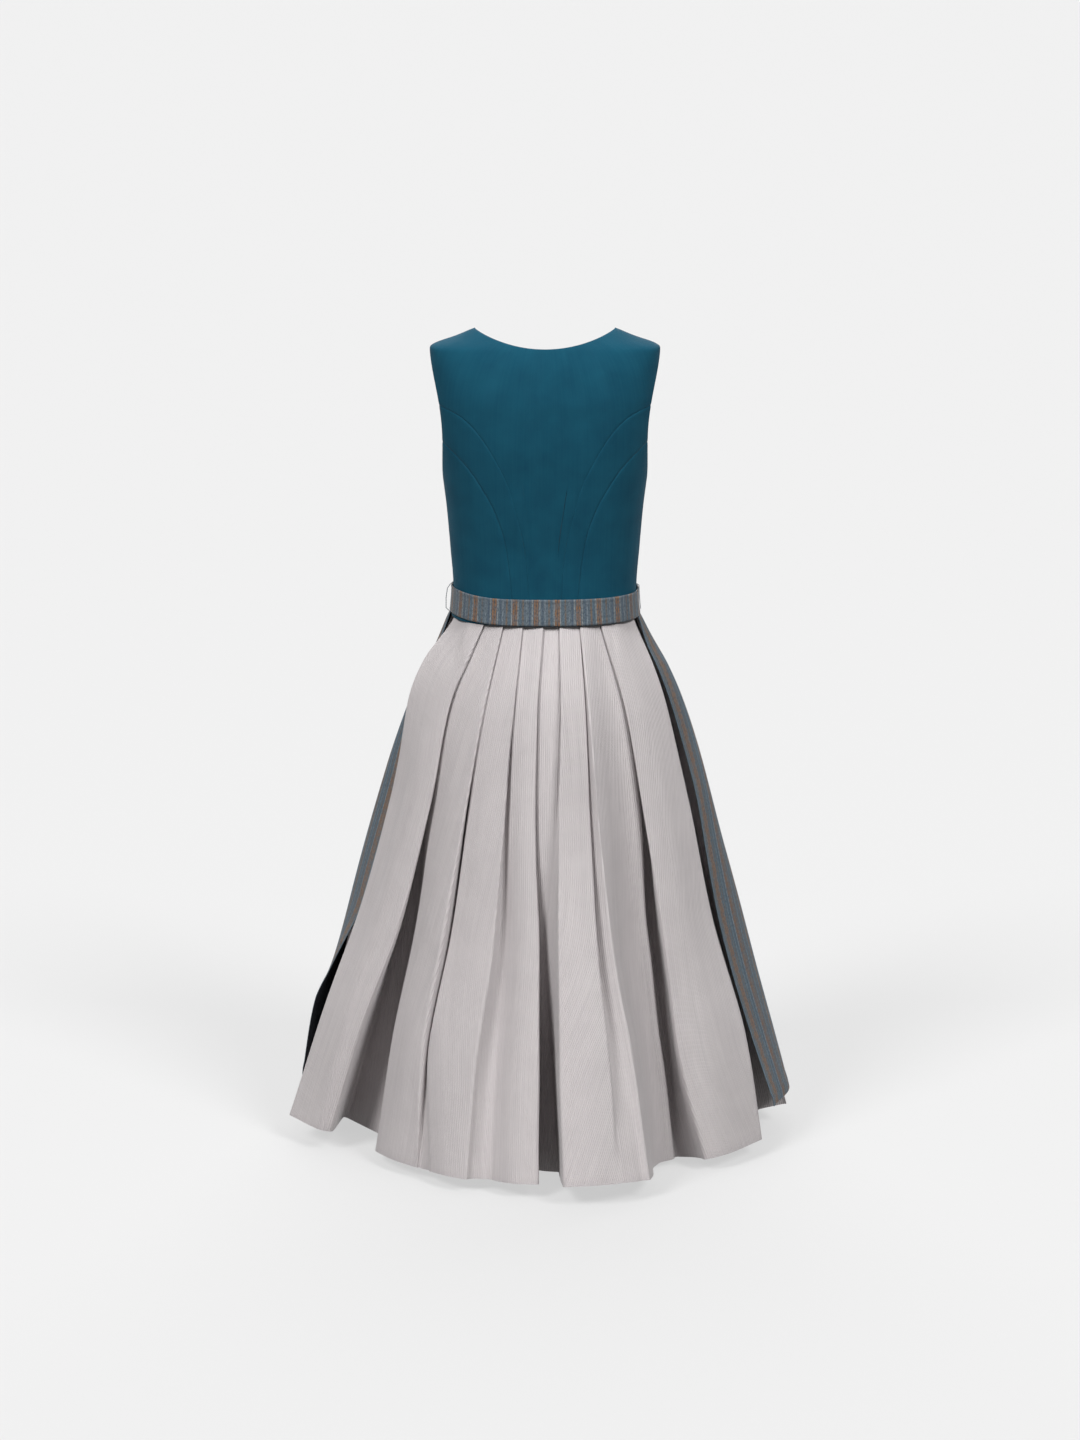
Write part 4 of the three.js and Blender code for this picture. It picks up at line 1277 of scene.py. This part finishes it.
@dataclass
class Skirt:
    """The pleated skirt, a back and a front width.

    Attributes:
        outside: the cloth's right side.
        inside: its wrong side.
        length: length of the cloth from the waist seam to the hem.
        row_count: rows of the mesh from the hem to the waist.
        thickness: of the cloth.
        per_side: points along each straight stretch of a row.
        per_corner: points round each of its corners.
        most_cut: the most of a stretch that a corner's rounding takes up.
        edge_round: how far a pleat's edge is rolled below the hips.
        hem_round: how much more it is rolled at the hem.
        turn_gap: how far the two sides of a hidden turn stand apart.
        turn_back: angle that a side pleat's turn lies back at the waist.
        opening: angle that a side pleat opens at the hem.
        bulge: how far a panel stands out down its middle at the hem.
        right_pleats: the side pleats at the wearer's right, from the side on.
        left_pleats: those at the left.
        creases: the creases of the back.
    """

    outside: bpy.types.Material
    inside: bpy.types.Material
    length: float = 747.0
    thickness: float = 0.9
    row_count: int = 72
    per_side: int = 3
    per_corner: int = 5
    most_cut: float = 0.46
    edge_round: float = 3.0
    hem_round: float = 5.0
    turn_gap: float = 2.6
    turn_back: float = 8.0
    opening: float = 7.0
    bulge: float = 5.0
    right_pleats: tuple[SidePleat, ...] = (
        SidePleat(83, 91, 38),
        SidePleat(106, 112, 34),
        SidePleat(126, 132, 32),
        SidePleat(146, 152, 32),
    )
    left_pleats: tuple[SidePleat, ...] = (
        SidePleat(90, 101, 38),
        SidePleat(109, 118, 34),
        SidePleat(127, 135, 32),
        SidePleat(146, 152, 32),
    )
    creases: list[Crease] = field(default_factory=skirt_creases)

    def waist_point(self, x: float, depth: float) -> Vector:
        """Gives the waist's point that lies x from the middle and some way inside."""
        angle = math.copysign(BODY.angle_at(x, WAIST_Z), x)
        return SKIRT.point(angle, WAIST_Z, -depth)

    def fold_edge(self, fold: Fold) -> Course:
        """Gives the line of a fold's own edge.

        Args:
            fold: the fold.

        Returns:
            Its place in plan at each share of the way down.
        """
        start = self.waist_point(fold.x[0], fold.layer * LAYER)
        x = Profile(LEVELS, (start.x, *fold.x[1:]))

        def at(t: float) -> Plan:
            """Gives the edge's place."""
            z = level_of(t)
            aside = math.copysign(fold.swell, fold.x[0]) * ease(t / HIP_RISE) * ease((HIP_END - t) / HIP_FALL)
            return x(z) + aside, mix(start.y, fold.hem_y, SWING(z)) + fold.bow * 4 * t * (1 - t)

        return at

    def fold_next(self, fold: Fold, edge: Course) -> Course:
        """Gives the line at which the panel beside a fold starts.

        Args:
            fold: the fold.
            edge: its own line.

        Returns:
            The line, or the fold's own where it is a crease.
        """
        if not fold.side:
            return edge
        start = self.waist_point(fold.x[0], 2 * LAYER)
        gap = Profile(LEVELS, ((start.x - edge(0)[0]) * fold.side, *fold.open))
        behind = Profile(LEVELS, (start.y - edge(0)[1], *fold.behind))

        def at(t: float) -> Plan:
            """Gives the start's place."""
            x, y = edge(t)
            return x + fold.side * gap(level_of(t)), y + behind(level_of(t))

        return at

    def pleat(self, number: int, fold: Fold, edge: Course, start: Course, on_top: Course) -> list[Line]:
        """Gives the five lines of a pleat from -X to +X.

        Args:
            number: the fold's number.
            fold: its values.
            edge: its own line.
            start: where the panel beside it starts.
            on_top: the nearest line of the panel on top.

        Returns:
            The lines.
        """
        deep = Profile(LEVELS, (LAYER, *fold.deep))
        sink = Profile(LEVELS, (0, *fold.sink))
        reach = Profile((LEVELS[0], LEVELS[3], LEVELS[5]), fold.reach)

        def away(t: float, along: float, inward: float) -> Plan:
            """Gives a point measured along and behind the panel on top."""
            px, py = edge(t)
            qx, qy = on_top(t)
            length = math.hypot(qx - px, qy - py)
            dx, dy = (qx - px) / length, (qy - py) / length
            return px + dx * along + fold.side * dy * inward, py + dy * along - fold.side * dx * inward

        def turned(t: float) -> Plan:
            """Gives the inner side of the pressed edge."""
            rounding = self.edge_round * ease(2 * t - 0.6)
            rounding += min(self.hem_round, 0.4 * deep(level_of(t))) * ease(1.6 * t - 0.6)
            room = 0.6 * (deep(level_of(t)) + sink(level_of(t)))
            return away(t, 0.2 * rounding, min(LAYER + rounding, max(room, LAYER)))

        def hidden(t: float) -> Plan:
            """Gives the near side of the hidden turn."""
            return away(t, reach(level_of(t)), deep(level_of(t)) + sink(level_of(t)))

        def sunk(t: float) -> Plan:
            """Gives the start of the panel beside the fold, sunk below its flat course."""
            (px, py), (qx, qy), (x, y) = edge(t), on_top(t), start(t)
            length = math.hypot(qx - px, qy - py)
            drop = fold.side * sink(level_of(t)) / length
            return x + (qy - py) * drop, y - (qx - px) * drop

        def hidden_next(t: float) -> Plan:
            """Gives the far side of the hidden turn."""
            (px, py), (bx, by) = hidden(t), turned(t)
            length = math.hypot(px - bx, py - by)
            apart = fold.side * self.turn_gap * (1 - ease(2 * t - 0.6)) / length
            share = mix(0.3, fold.spread, ease(2 * t))
            (ex, ey), (nx, ny) = edge(t), start(t)
            return px + (nx - ex) * share + (py - by) * apart, py + (ny - ey) * share - (px - bx) * apart

        beside = number + fold.side
        lines = [
            Line(edge, fold.soft, number, edge=True),
            Line(turned, EDGE_SOFT, number),
            Line(hidden, TURN_SOFT, number),
            Line(hidden_next, TURN_SOFT, beside),
            Line(sunk, SUNK_SOFT, beside, start),
        ]
        return lines if fold.side > 0 else lines[::-1]

    def between(self, a: Line, b: Line) -> Line:
        """Gives the line down the middle of a panel, bulged a little outward."""
        follow = b.fold if b.edge else a.fold

        def at(t: float) -> Plan:
            """Gives the middle's place."""
            (px, py), (qx, qy) = a.course(t), b.course(t)
            length = math.hypot(qx - px, qy - py) or 1.0
            lift = self.bulge * t / length
            return (px + qx) / 2 + (qy - py) * lift, (py + qy) / 2 - (qx - px) * lift

        return Line(at, PANEL_SOFT, follow)

    def back_lines(self) -> list[Line]:
        """Gives the back's lines from the wearer's left to right."""
        folds = back_folds()
        edges = [self.fold_edge(fold) for fold in folds]
        starts = [self.fold_next(fold, edge) for fold, edge in zip(folds, edges)]
        lines: list[Line] = []
        for i, fold in enumerate(folds):
            if fold.side:
                added = self.pleat(i, fold, edges[i], starts[i], starts[i - fold.side])
            else:
                ribs = min(max(i, BACK_RIBS[0]), BACK_RIBS[1])
                added = [Line(edges[i], fold.soft, fold.ribs or ribs)]
            before = folds[i - 1] if i else None
            if before and (before.side or fold.side) and not before.name.startswith("P6 "):
                lines.append(self.between(lines[-1], added[0]))
            lines.extend(added)
        return lines

    def section_line(self, angle: Change, inward: Change, soft: tuple[float, float], fold: int) -> Line:
        """Gives a line at an angle of the skirt's section, some way inside it."""

        def at(t: float) -> Plan:
            """Gives the line's place."""
            p = SKIRT.point(angle(t), level_of(t), -inward(t))
            return p.x, p.y

        return Line(at, soft, fold)

    def side_pleat(self, number: int, row: SidePleat) -> list[Line]:
        """Gives the five lines of a side pleat: next, hidden next, hidden, turned and edge.

        Args:
            number: the pleat's number.
            row: its values.

        Returns:
            The lines.
        """

        def flare(t: float) -> float:
            """Gives how far the skirt has swung out."""
            return SWING(level_of(t))

        def line(turn: Change, inward: Change, soft: tuple[float, float], fold: int) -> Line:
            """Gives one of the lines."""
            return self.section_line(lambda t: row.angle(t) + turn(t), inward, soft, fold)

        def hidden(end: float, layers: float, fold: int) -> Line:
            """Gives one side of the hidden turn, from the angle that it ends at."""
            return line(
                lambda t: mix(self.turn_back, end, flare(t)),
                lambda t: layers * LAYER + row.deep * flare(t), TURN_SOFT, fold,
            )

        return [
            line(
                lambda t: mix(0, -self.opening, flare(t)),
                lambda t: 2.2 * LAYER + 8 * t, (1.5, 10), number,
            ),
            hidden(-self.opening / 2, 3.6, number),
            hidden(1.5, 2.1, number + 1),
            line(lambda t: 0.4 * t, lambda t: LAYER + 3 * t, (0.9, 2.4), number + 1),
            line(lambda t: 0.0, lambda t: 0.0, (1.5, 7), number + 1),
        ]

    def front_half(self, rows: tuple[SidePleat, ...]) -> list[Line]:
        """Gives the lines of one half of the front, as they lie at the wearer's right.

        Args:
            rows: the half's pleats from the side on.

        Returns:
            The lines from beside the side seam to the inner pleat's edge.
        """
        pleats = [self.side_pleat(FRONT_RIBS + i, row) for i, row in enumerate(rows)]
        lines = pleats[0][2:]
        for i in range(1, len(pleats)):
            before, after = rows[i - 1], rows[i]

            def middle(t: float, before: SidePleat = before, after: SidePleat = after) -> float:
                """Gives the angle down the middle of the panel."""
                return (before.angle(t) + after.angle(t) - self.opening * SWING(level_of(t))) / 2

            lines.append(self.section_line(middle, lambda t: LAYER + 3 * t, PANEL_SOFT, FRONT_RIBS + i))
            lines.extend(pleats[i])
        return lines

    def front_middle(self) -> list[Line]:
        """Gives the lines of the plain panel between the two inner pleats."""
        inner = self.right_pleats[-1]
        return [
            self.section_line(
                lambda t, share=share: mix(inner.angle(t), 180, share),
                lambda t, share=share: 6 * t * math.sin(math.pi * share / 2),
                PANEL_SOFT, MIDDLE_RIBS,
            )
            for share in (0.5, 1.0, 1.5)
        ]

    def draped(self, lines: list[Line]) -> tuple[Grid, Measure]:
        """Lays the cloth along the lines with every fold rounded.

        Args:
            lines: the lines anticlockwise.

        Returns:
            The points from the hem up, and the cloth's own measure across.
        """
        rows: Grid = []
        across = []
        top = WAIST_Z - WAIST_GAP
        count = self.row_count
        for j in range(count + 1):
            t = (1 - j / count) ** 1.15
            corners = []
            for line in lines:
                (wx, wy), (hx, hy) = line.at(0), line.at(1)
                drop = math.sqrt(self.length**2 - math.hypot(hx - wx, hy - wy) ** 2)
                x, y = line.at(t)
                corners.append(Vector((x, y, top - drop * t)))
            row, owners = self.rounded(corners, lines, t)
            lengths = arc_lengths(row)
            heads = {}
            for k, owner in enumerate(owners):
                if owner[1]:
                    heads.setdefault(owner[0], lengths[k])
            measure = []
            for k in range(len(row) - 1):
                fold = owners[k + 1][0]
                start = heads.get(fold, 0.0) - RIBS_APART * fold
                measure.append((lengths[k] - start, lengths[k + 1] - start))
            rows.append(row)
            across.append(measure)
        return rows, across

    def rounded(self, corners: list[Vector], lines: list[Line], t: float) -> tuple[list[Vector], list]:
        """Rounds the corners of one row.

        Args:
            corners: the row's corners.
            lines: the line that each corner lies on.
            t: how far down the row is.

        Returns:
            The row's points, and for each its fold and whether it is the middle of a corner.
        """
        last = len(corners) - 1
        points = [corners[0]]
        owners = [(lines[0].fold, False)]
        spans = [(b - a).length for a, b in zip(corners, corners[1:])]
        for k in range(1, last + 1):
            before, here = corners[k - 1], corners[k]
            cut = 0.0
            if k < last:
                cut = min(mix(*lines[k].soft, t), self.most_cut * spans[k - 1], self.most_cut * spans[k])
            entry = here + (before - here) * (cut / spans[k - 1])
            start = points[-1]
            for i in range(1, self.per_side + 1):
                points.append(start.lerp(entry, i / self.per_side))
                owners.append((lines[k].fold, False))
            if k == last:
                break
            leave = here + (corners[k + 1] - here) * (cut / spans[k])
            for i in range(1, self.per_corner):
                s = i / (self.per_corner - 1)
                point = entry * (1 - s) ** 2 + here * (2 * s * (1 - s)) + leave * s**2
                points.append(point)
                owners.append((lines[k].fold, i == self.per_corner // 2))
        return points, owners

    def softened(self, rows: Grid) -> Grid:
        """Adds the listed creases and the cloth's slow waves.

        Args:
            rows: the draped points.

        Returns:
            The finished points.
        """

        def lift(spot: Spot) -> float:
            """Gives how far a point of the skirt moves."""
            x, y, z = spot.point
            down = clamp01((WAIST_Z - z) / SKIRT_DROP)
            total = 1.6 * ease(down * 3) * noise.noise(Vector((x * 0.012, y * 0.012, z * 0.006)))
            if spot.normal.y < -0.1 and y < -40:
                total += sum(crease.lift(x, z) for crease in self.creases)
            return total

        return lifted(rows, lift)

    def build(self) -> None:
        """Makes the back and the front width."""
        back = self.back_lines()
        right = self.front_half(self.right_pleats)
        left = [
            Line(lambda t, at=line.at: (-at(t)[0], at(t)[1]), line.soft, MIRROR_RIBS - line.fold)
            for line in self.front_half(self.left_pleats)[::-1]
        ]
        right_seam = self.seam(back[-1], right[0])
        left_seam = self.seam(left[-1], back[0])
        back_start = Line(left_seam.at, left_seam.soft, BACK_RIBS[0])
        front_start = Line(right_seam.at, right_seam.soft, FRONT_RIBS + 1)
        front_end = Line(left_seam.at, left_seam.soft, MIRROR_RIBS - FRONT_RIBS - 1)
        front = [front_start, *right, *self.front_middle(), *left, front_end]
        for name, lines, on in (
            ("skirt_back", [back_start, *back, right_seam], "cloth_back_center"),
            ("skirt_front", front, "cloth_front_center_left"),
        ):
            rows, across = self.draped(lines)
            rows = self.softened(rows)
            piece = Cloth(f"cloth_{name}", rows, across, self.thickness).build(self.outside, self.inside)
            declare(piece, name, rows)

    def seam(self, a: Line, b: Line) -> Line:
        """Gives the seam half way between two lines."""

        def at(t: float) -> Plan:
            """Gives the seam's place."""
            (px, py), (qx, qy) = a.at(t), b.at(t)
            return (px + qx) / 2, (py + qy) / 2

        return Line(at, SEAM_SOFT, a.fold)


# Apron


def edge_table(*rows: tuple[float, float, float]) -> tuple[Profile, Profile]:
    """Gives the curves of a free edge's x and y over its height."""
    heights = [row[0] for row in rows]
    return Profile(heights, [row[1] for row in rows]), Profile(heights, [row[2] for row in rows])


@dataclass(frozen=True)
class Swell:
    """How far the apron stands out beside a free edge.

    Attributes:
        out: how far.
        at: where, as a share of the way across.
        reach: how far it spreads on each side, as a share.
        start: how soon it rises below the waist.
        left: what share of it is left at the hem.
    """

    out: float
    at: float
    reach: float
    start: float
    left: float

    def lift(self, s: float, t: float) -> float:
        """Gives the movement at a share of the way across and down."""
        down = ease(t * self.start) * mix(1.0, self.left, ease((t - 0.2) / 0.3))
        return self.out * down * ease(1 - abs(s - self.at) / self.reach)


@dataclass
class Apron:
    """The apron's band and its panel.

    Attributes:
        band_cloth: finish of the band.
        panel_cloth: finish of the panel's right side.
        inside: finish of its wrong side, darker than the cloth's own colour so that it paints the shade in
            the gaps between apron and skirt.
    """

    band_cloth: bpy.types.Material
    panel_cloth: bpy.types.Material
    inside: bpy.types.Material
    band_height: float = 35.0
    band_bottom_z: float = -388.8
    lift_height: float = 5.0
    lift_angle: float = -75.0
    lift_reach: float = 55.0
    band_clearance: float = 2.9
    lap_angle: float = 148.0
    lap: float = 15.0
    lap_step: float = 2.1
    hem_z: float = -1071.0
    clearance: float = 2.4
    stand: float = 2.6
    waves: int = 9
    wave_depth: float = 9.0
    gathers: int = 58
    gather_depth: float = 2.6
    band_thickness: float = 1.4
    panel_thickness: float = 0.9
    right_angles: Plan = (78, 74)
    left_angles: Plan = (276, 264)
    plain_share: float = 0.12
    right_share: float = 0.1
    left_share: float = 0.055
    swells: tuple[Swell, ...] = (Swell(9, 0.06, 0.06, 9, 0.3), Swell(5, 0.96, 0.045, 3, 1))
    cloth_width: float = APRON_WIDTH
    hem_turn: float = 9.0

    def bottom(self, angle: float) -> float:
        """Gives the height of the band's lower edge."""
        turn = (angle - self.lift_angle + 360) % 360
        away = min(turn, 360 - turn)
        return self.band_bottom_z + self.lift_height * ease(1 - away / self.lift_reach)

    def build_band(self) -> None:
        """Makes the waistband."""
        columns, height = 560, 18
        end = self.lap_angle + 360 + self.lap
        rows = []
        for j in range(height + 1):
            v = j / height
            row = []
            for k in range(columns + 1):
                angle = mix(self.lap_angle, end, k / columns)
                step = self.lap_step * ease((angle - end + 3 * self.lap) / (1.6 * self.lap))
                edge = min(v, 1 - v) * self.band_height
                roll = 0.45 * bell(edge - 2.2, 1.6) - 0.5 * bell(edge, 0.9)
                stitch = -0.35 * bell(edge - 4.2, 0.7)
                z = self.bottom(angle) + self.band_height * v
                wave = 0.5 * noise.noise(Vector((angle * 0.11, v * 1.5, 4.0)))
                row.append(BODY.point(angle, z, self.band_clearance + step + roll + stitch + wave))
            rows.append(row)
        across = [plain_across(rows)[height // 2]] * len(rows)
        cloth = Cloth("cloth_apron_band", rows, across, self.band_thickness)
        piece = cloth.build(self.band_cloth, self.inside)
        declare(piece, "apron_band", rows)

    def build_panel(self) -> None:
        """Makes the apron's panel with its gathers and turned edges."""
        right = edge_table(
            (-390, 126.5, -27), (-430, 140, -40), (-460, 154, -44), (-500, 169, -47), (-560, 187, -50),
            (-640, 208, -59), (-720, 222, -66), (-800, 237, -73), (-880, 257, -80), (-960, 281, -87),
            (-1071, 318, -97),
        )
        left = edge_table(
            (-390, -128, -11), (-430, -142, -14), (-500, -168, -22), (-640, -205, -26), (-760, -241, -25),
            (-815, -257, -21), (-840, -269, -18), (-870, -284, -10), (-911, -303, 4), (-960, -325, 18),
            (-1071, -345, 32),
        )
        columns, height = 430, 72
        rows = []
        for j in range(height + 1):
            t = (1 - j / height) ** 1.2
            level = mix(WAIST_Z, self.hem_z - 6, t)
            stand = self.clearance + self.stand * ease(t * 2)
            starts = (mix(*self.right_angles, t), mix(*self.left_angles, t))
            bases = [SKIRT.point(angle, level, stand) for angle in starts]
            edges = [(x(level), y(level)) for x, y in (right, left)]
            row = []
            for k in range(columns + 1):
                s = k / columns
                angle = mix(*starts, s)
                inner = math.sin(math.pi * s) ** 0.5
                wave = inner * (0.5 - 0.5 * math.cos(2 * math.pi * self.waves * s))
                turn = 2 * math.pi * self.gathers * s + 1.5 * math.sin(31 * s)
                gather = inner * (0.5 - 0.5 * math.cos(turn))
                out = stand + self.wave_depth * ease(t * 1.4) * wave
                out += self.gather_depth * gather * math.exp(-t * 6) * ease(t * 40)
                out += sum(swell.lift(s, t) for swell in self.swells)
                point = SKIRT.point(angle, level, out)
                weights = (ease(1 - s / self.right_share), ease(1 - (1 - s) / self.left_share))
                for weight, base, edge in zip(weights, bases, edges):
                    point.x += (edge[0] - base.x) * weight
                    point.y += (edge[1] - base.y) * weight
                point.z = mix(self.bottom(angle) - WAIST_GAP, self.hem_z, t)
                row.append(point)
            rows.append(row)
        rows = self.turned(rows)
        cloth = Cloth("cloth_apron_panel", rows, self.stripe_measure(rows), self.panel_thickness)
        piece = cloth.build(self.panel_cloth, self.inside)
        declare(piece, "apron_panel", rows)

    def turned(self, rows: Grid) -> Grid:
        """Raises the turned-under edges a little and sinks their stitching.

        Args:
            rows: the panel's points.

        Returns:
            The finished points.
        """
        normals = grid_normals(rows)
        drops = arc_lengths([row[0] for row in rows])
        result = []
        for j, row in enumerate(rows):
            lengths = arc_lengths(row)
            line = []
            for k, point in enumerate(row):
                edge = min(lengths[k], lengths[-1] - lengths[k])
                hem = drops[j]
                lift = 0.5 * (1 - ease((edge - self.hem_turn) / 2 + 0.5))
                lift -= 0.45 * bell(edge - self.hem_turn, 1.0)
                lift += 0.5 * (1 - ease((hem - 22) / 3 + 0.5)) - 0.45 * bell(hem - 22, 1.4)
                line.append(point + normals[j][k] * lift)
            result.append(line)
        return result

    def stripe_measure(self, rows: Grid) -> Measure:
        """Measures the cloth across, true near both free edges and gathered between them.

        Args:
            rows: the panel's points.

        Returns:
            The measure at the two ends of each column.
        """
        result = []
        for row in rows:
            lengths = arc_lengths(row)
            spare = self.cloth_width - lengths[-1]
            last = len(row) - 1
            middle = 1 - 2 * self.plain_share
            own = [
                length + spare * ease((k / last - self.plain_share) / middle)
                for k, length in enumerate(lengths)
            ]
            result.append(list(zip(own, own[1:])))
        return result


@dataclass
class BeltLoop:
    """A thread loop at a side seam that holds the band."""

    side: Side
    cloth: bpy.types.Material
    thread: float = 1.2
    angle: float = 88.0
    stand: float = 5.5

    def build(self, apron: Apron) -> None:
        """Makes the loop of two twisted threads.

        Args:
            apron: the apron whose band it holds.
        """
        sign = -1 if self.side is Side.LEFT else 1
        angle = sign * self.angle
        top = apron.bottom(angle) + apron.band_height + 3
        outside = apron.band_clearance + 0.8 + 0.3 + self.thread / 2
        bottom = WAIST_Z + 1.1
        stand = self.stand
        stations = [
            (top, 1.6),
            (top - 2.2, outside),
            (top - 8, outside + stand * 0.75),
            ((top + bottom) / 2, outside + stand),
            (bottom + 7, outside + stand * 0.8),
            (bottom + 3.2, outside),
        ]
        path = [BODY.point(angle, z, out) for z, out in stations]
        curve = bpy.data.curves.new(f"thread_loop_{self.side.value}", "CURVE")
        curve.dimensions = "3D"
        curve.bevel_depth = self.thread * 0.31 * MM
        curve.bevel_resolution = 2
        count = 90
        for strand in range(2):
            spline = curve.splines.new("POLY")
            spline.points.add(count)
            for i in range(count + 1):
                s = i / count * (len(path) - 1)
                a = min(int(s), len(path) - 2)
                point = path[a].lerp(path[a + 1], s - a)
                turn = i * 0.75 + strand * math.pi
                shift = Vector((math.cos(turn), math.sin(turn), 0)) * self.thread * 0.22
                spline.points[i].co = (*((point + shift) * MM), 1.0)
        curve.materials.append(self.cloth)
        piece = placed(f"thread_loop_{self.side.value}", curve)
        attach(piece, "root")
        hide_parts(f"belt_loop_{self.side.value}")
        log.info("%s loop made", self.side.value)


# Studio


@dataclass(frozen=True)
class StudioLight:
    """A soft area light: its place and aim in metres, its size and its strength."""

    name: str
    place: tuple[float, float, float]
    aim: tuple[float, float, float]
    size: float
    power: float

    def build(self) -> None:
        """Adds the light."""
        data = bpy.data.lights.new(self.name, "AREA")
        data.shape = "DISK"
        data.size = self.size
        data.energy = self.power
        lamp = placed(self.name, data)
        lamp.location = self.place
        lamp.rotation_euler = (Vector(self.aim) - Vector(self.place)).to_track_quat("-Z", "Y").to_euler()


@dataclass(frozen=True)
class Sun:
    """Light from far off: the side it comes from, its height, its spread in degrees and its strength."""

    name: str
    turn: float
    pitch: float
    spread: float
    power: float

    def build(self) -> None:
        """Adds the light."""
        data = bpy.data.lights.new(self.name, "SUN")
        data.energy = self.power
        data.angle = math.radians(self.spread)
        lamp = placed(self.name, data)
        lamp.rotation_euler = (math.radians(90 - self.pitch), 0, math.radians(self.turn))


@dataclass
class Studio:
    """The floor, the lights and the camera."""

    floor_z: float = -1.1365
    floor_size: float = 400.0
    camera_place: tuple[float, float, float] = (-0.0067, -4.4, 0.5066)
    pitch: float = 13.4
    lens: float = 81.8
    sky: float = 0.13
    backdrop: float = 0.8
    floor_glow: float = 0.57
    floor_colour: float = 0.2
    suns: tuple[Sun, ...] = (
        Sun("left window", -44.0, 45.0, 20.0, 2.32),
        Sun("right window", 44.0, 45.0, 20.0, 2.14),
        Sun("rear window", 180.0, 42.0, 60.0, 1.9),
    )
    lights: tuple[StudioLight, ...] = (StudioLight("top", (0.0, -0.9, 2.8), (0, 0, -0.8), 2.4, 8.0),)

    def build(self) -> None:
        """Adds all of them to the scene."""
        scene = bpy.context.scene
        world = bpy.data.worlds.new("studio")
        world.use_nodes = True
        shop = Shop(world.node_tree)
        seen = shop.add("ShaderNodeLightPath").outputs["Is Camera Ray"]
        strength = shop.between(seen, 0.0, 1.0, self.sky, self.backdrop)
        world.node_tree.links.new(strength, world.node_tree.nodes["Background"].inputs["Strength"])
        world.node_tree.nodes["Background"].inputs["Color"].default_value = (1.0, 1.0, 1.0, 1.0)
        scene.world = world
        for light in self.lights:
            light.build()
        for sun in self.suns:
            sun.build()
        scene.view_settings.view_transform = "Standard"
        self.floor()
        data = bpy.data.cameras.new("camera")
        data.lens = self.lens
        data.sensor_width = 36.0
        data.clip_end = 900.0
        camera = placed("camera", data)
        camera.location = self.camera_place
        camera.rotation_euler = (math.radians(90 - self.pitch), 0, 0)
        scene.camera = camera

    def floor(self) -> None:
        """Adds the pale floor."""
        bm = bmesh.new()
        bmesh.ops.create_grid(bm, x_segments=1, y_segments=1, size=self.floor_size / 2)
        bmesh.ops.translate(bm, verts=bm.verts, vec=(0, 0, self.floor_z))
        mesh = bpy.data.meshes.new("floor")
        bm.to_mesh(mesh)
        bm.free()
        material = bpy.data.materials.new("floor")
        material.use_nodes = True
        shader = material.node_tree.nodes["Principled BSDF"]
        looks = {
            "Base Color": (*[self.floor_colour] * 3, 1.0),
            "Emission Color": (1.0, 1.0, 1.0, 1.0),
            "Emission Strength": self.floor_glow,
            "Roughness": 1.0,
            "Specular IOR Level": 0.0,
        }
        for label, value in looks.items():
            shader.inputs[label].default_value = value
        mesh.materials.append(material)
        floor = placed("floor", mesh)
        floor.visible_diffuse = False


def main() -> None:
    """Builds the dress, its apron and the studio."""
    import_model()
    teal = ClothFinish(
        "teal cloth", (16, 80, 101), (8, 67, 88), 0.8, 0.05, 1100, relief=0.1, shine=0.12
    ).make()
    lining = ClothFinish("teal lining", (30, 62, 76), (24, 52, 66), 0.8, 0.1, 1000).make()
    ribbed = ClothFinish(
        "ribbed satin", (206, 200, 200), (190, 184, 185), 0.5, 0.3, 1100,
        ribs=4.0, streaks=0.75, relief=0.1, shine=0.15,
    ).make()
    wrong = ClothFinish(
        "satin wrong side", (150, 144, 148), (136, 130, 134), 0.8, 0.1, 1100, streaks=0.6
    ).make()
    band = StripedFinish(
        "striped band", (102, 114, 122), (84, 98, 108), 0.82, 0.25, 800, streaks=0.5, relief=0.2, shift=8.0
    ).make()
    panel = StripedFinish(
        "striped apron", (90, 110, 122), (72, 94, 108), 0.82, 0.2, 800, streaks=0.5, relief=0.2, shift=-3.0,
        borders=(Stripe(17.5, 12.5, (124, 98, 78), 0.75), Stripe(52.0, 7.0, (104, 96, 90), 0.8)),
    ).make()
    # The apron's wrong side: the cloth's own darker face, darkened further to paint the deep shade in the
    # gaps between apron and skirt
    back = ClothFinish("apron wrong side darkened as painted shade", (42, 48, 56), (33, 38, 45), 0.85, 0.05, 800, shine=0.1).make()
    thread = ClothFinish("loop thread", (150, 156, 160), (130, 136, 142), 0.7, 0.2, 2000).make()

    Bodice(teal, lining).build()
    Skirt(ribbed, wrong).build()
    apron = Apron(band, panel, back)
    apron.build_band()
    apron.build_panel()
    BeltLoop(Side.LEFT, thread).build(apron)
    BeltLoop(Side.RIGHT, thread, angle=92.0, stand=0.0).build(apron)
    Studio().build()
    log.info("all pieces made")


if __name__ == "__main__":
    logging.basicConfig(level=logging.INFO, format="%(name)s: %(message)s")
    main()
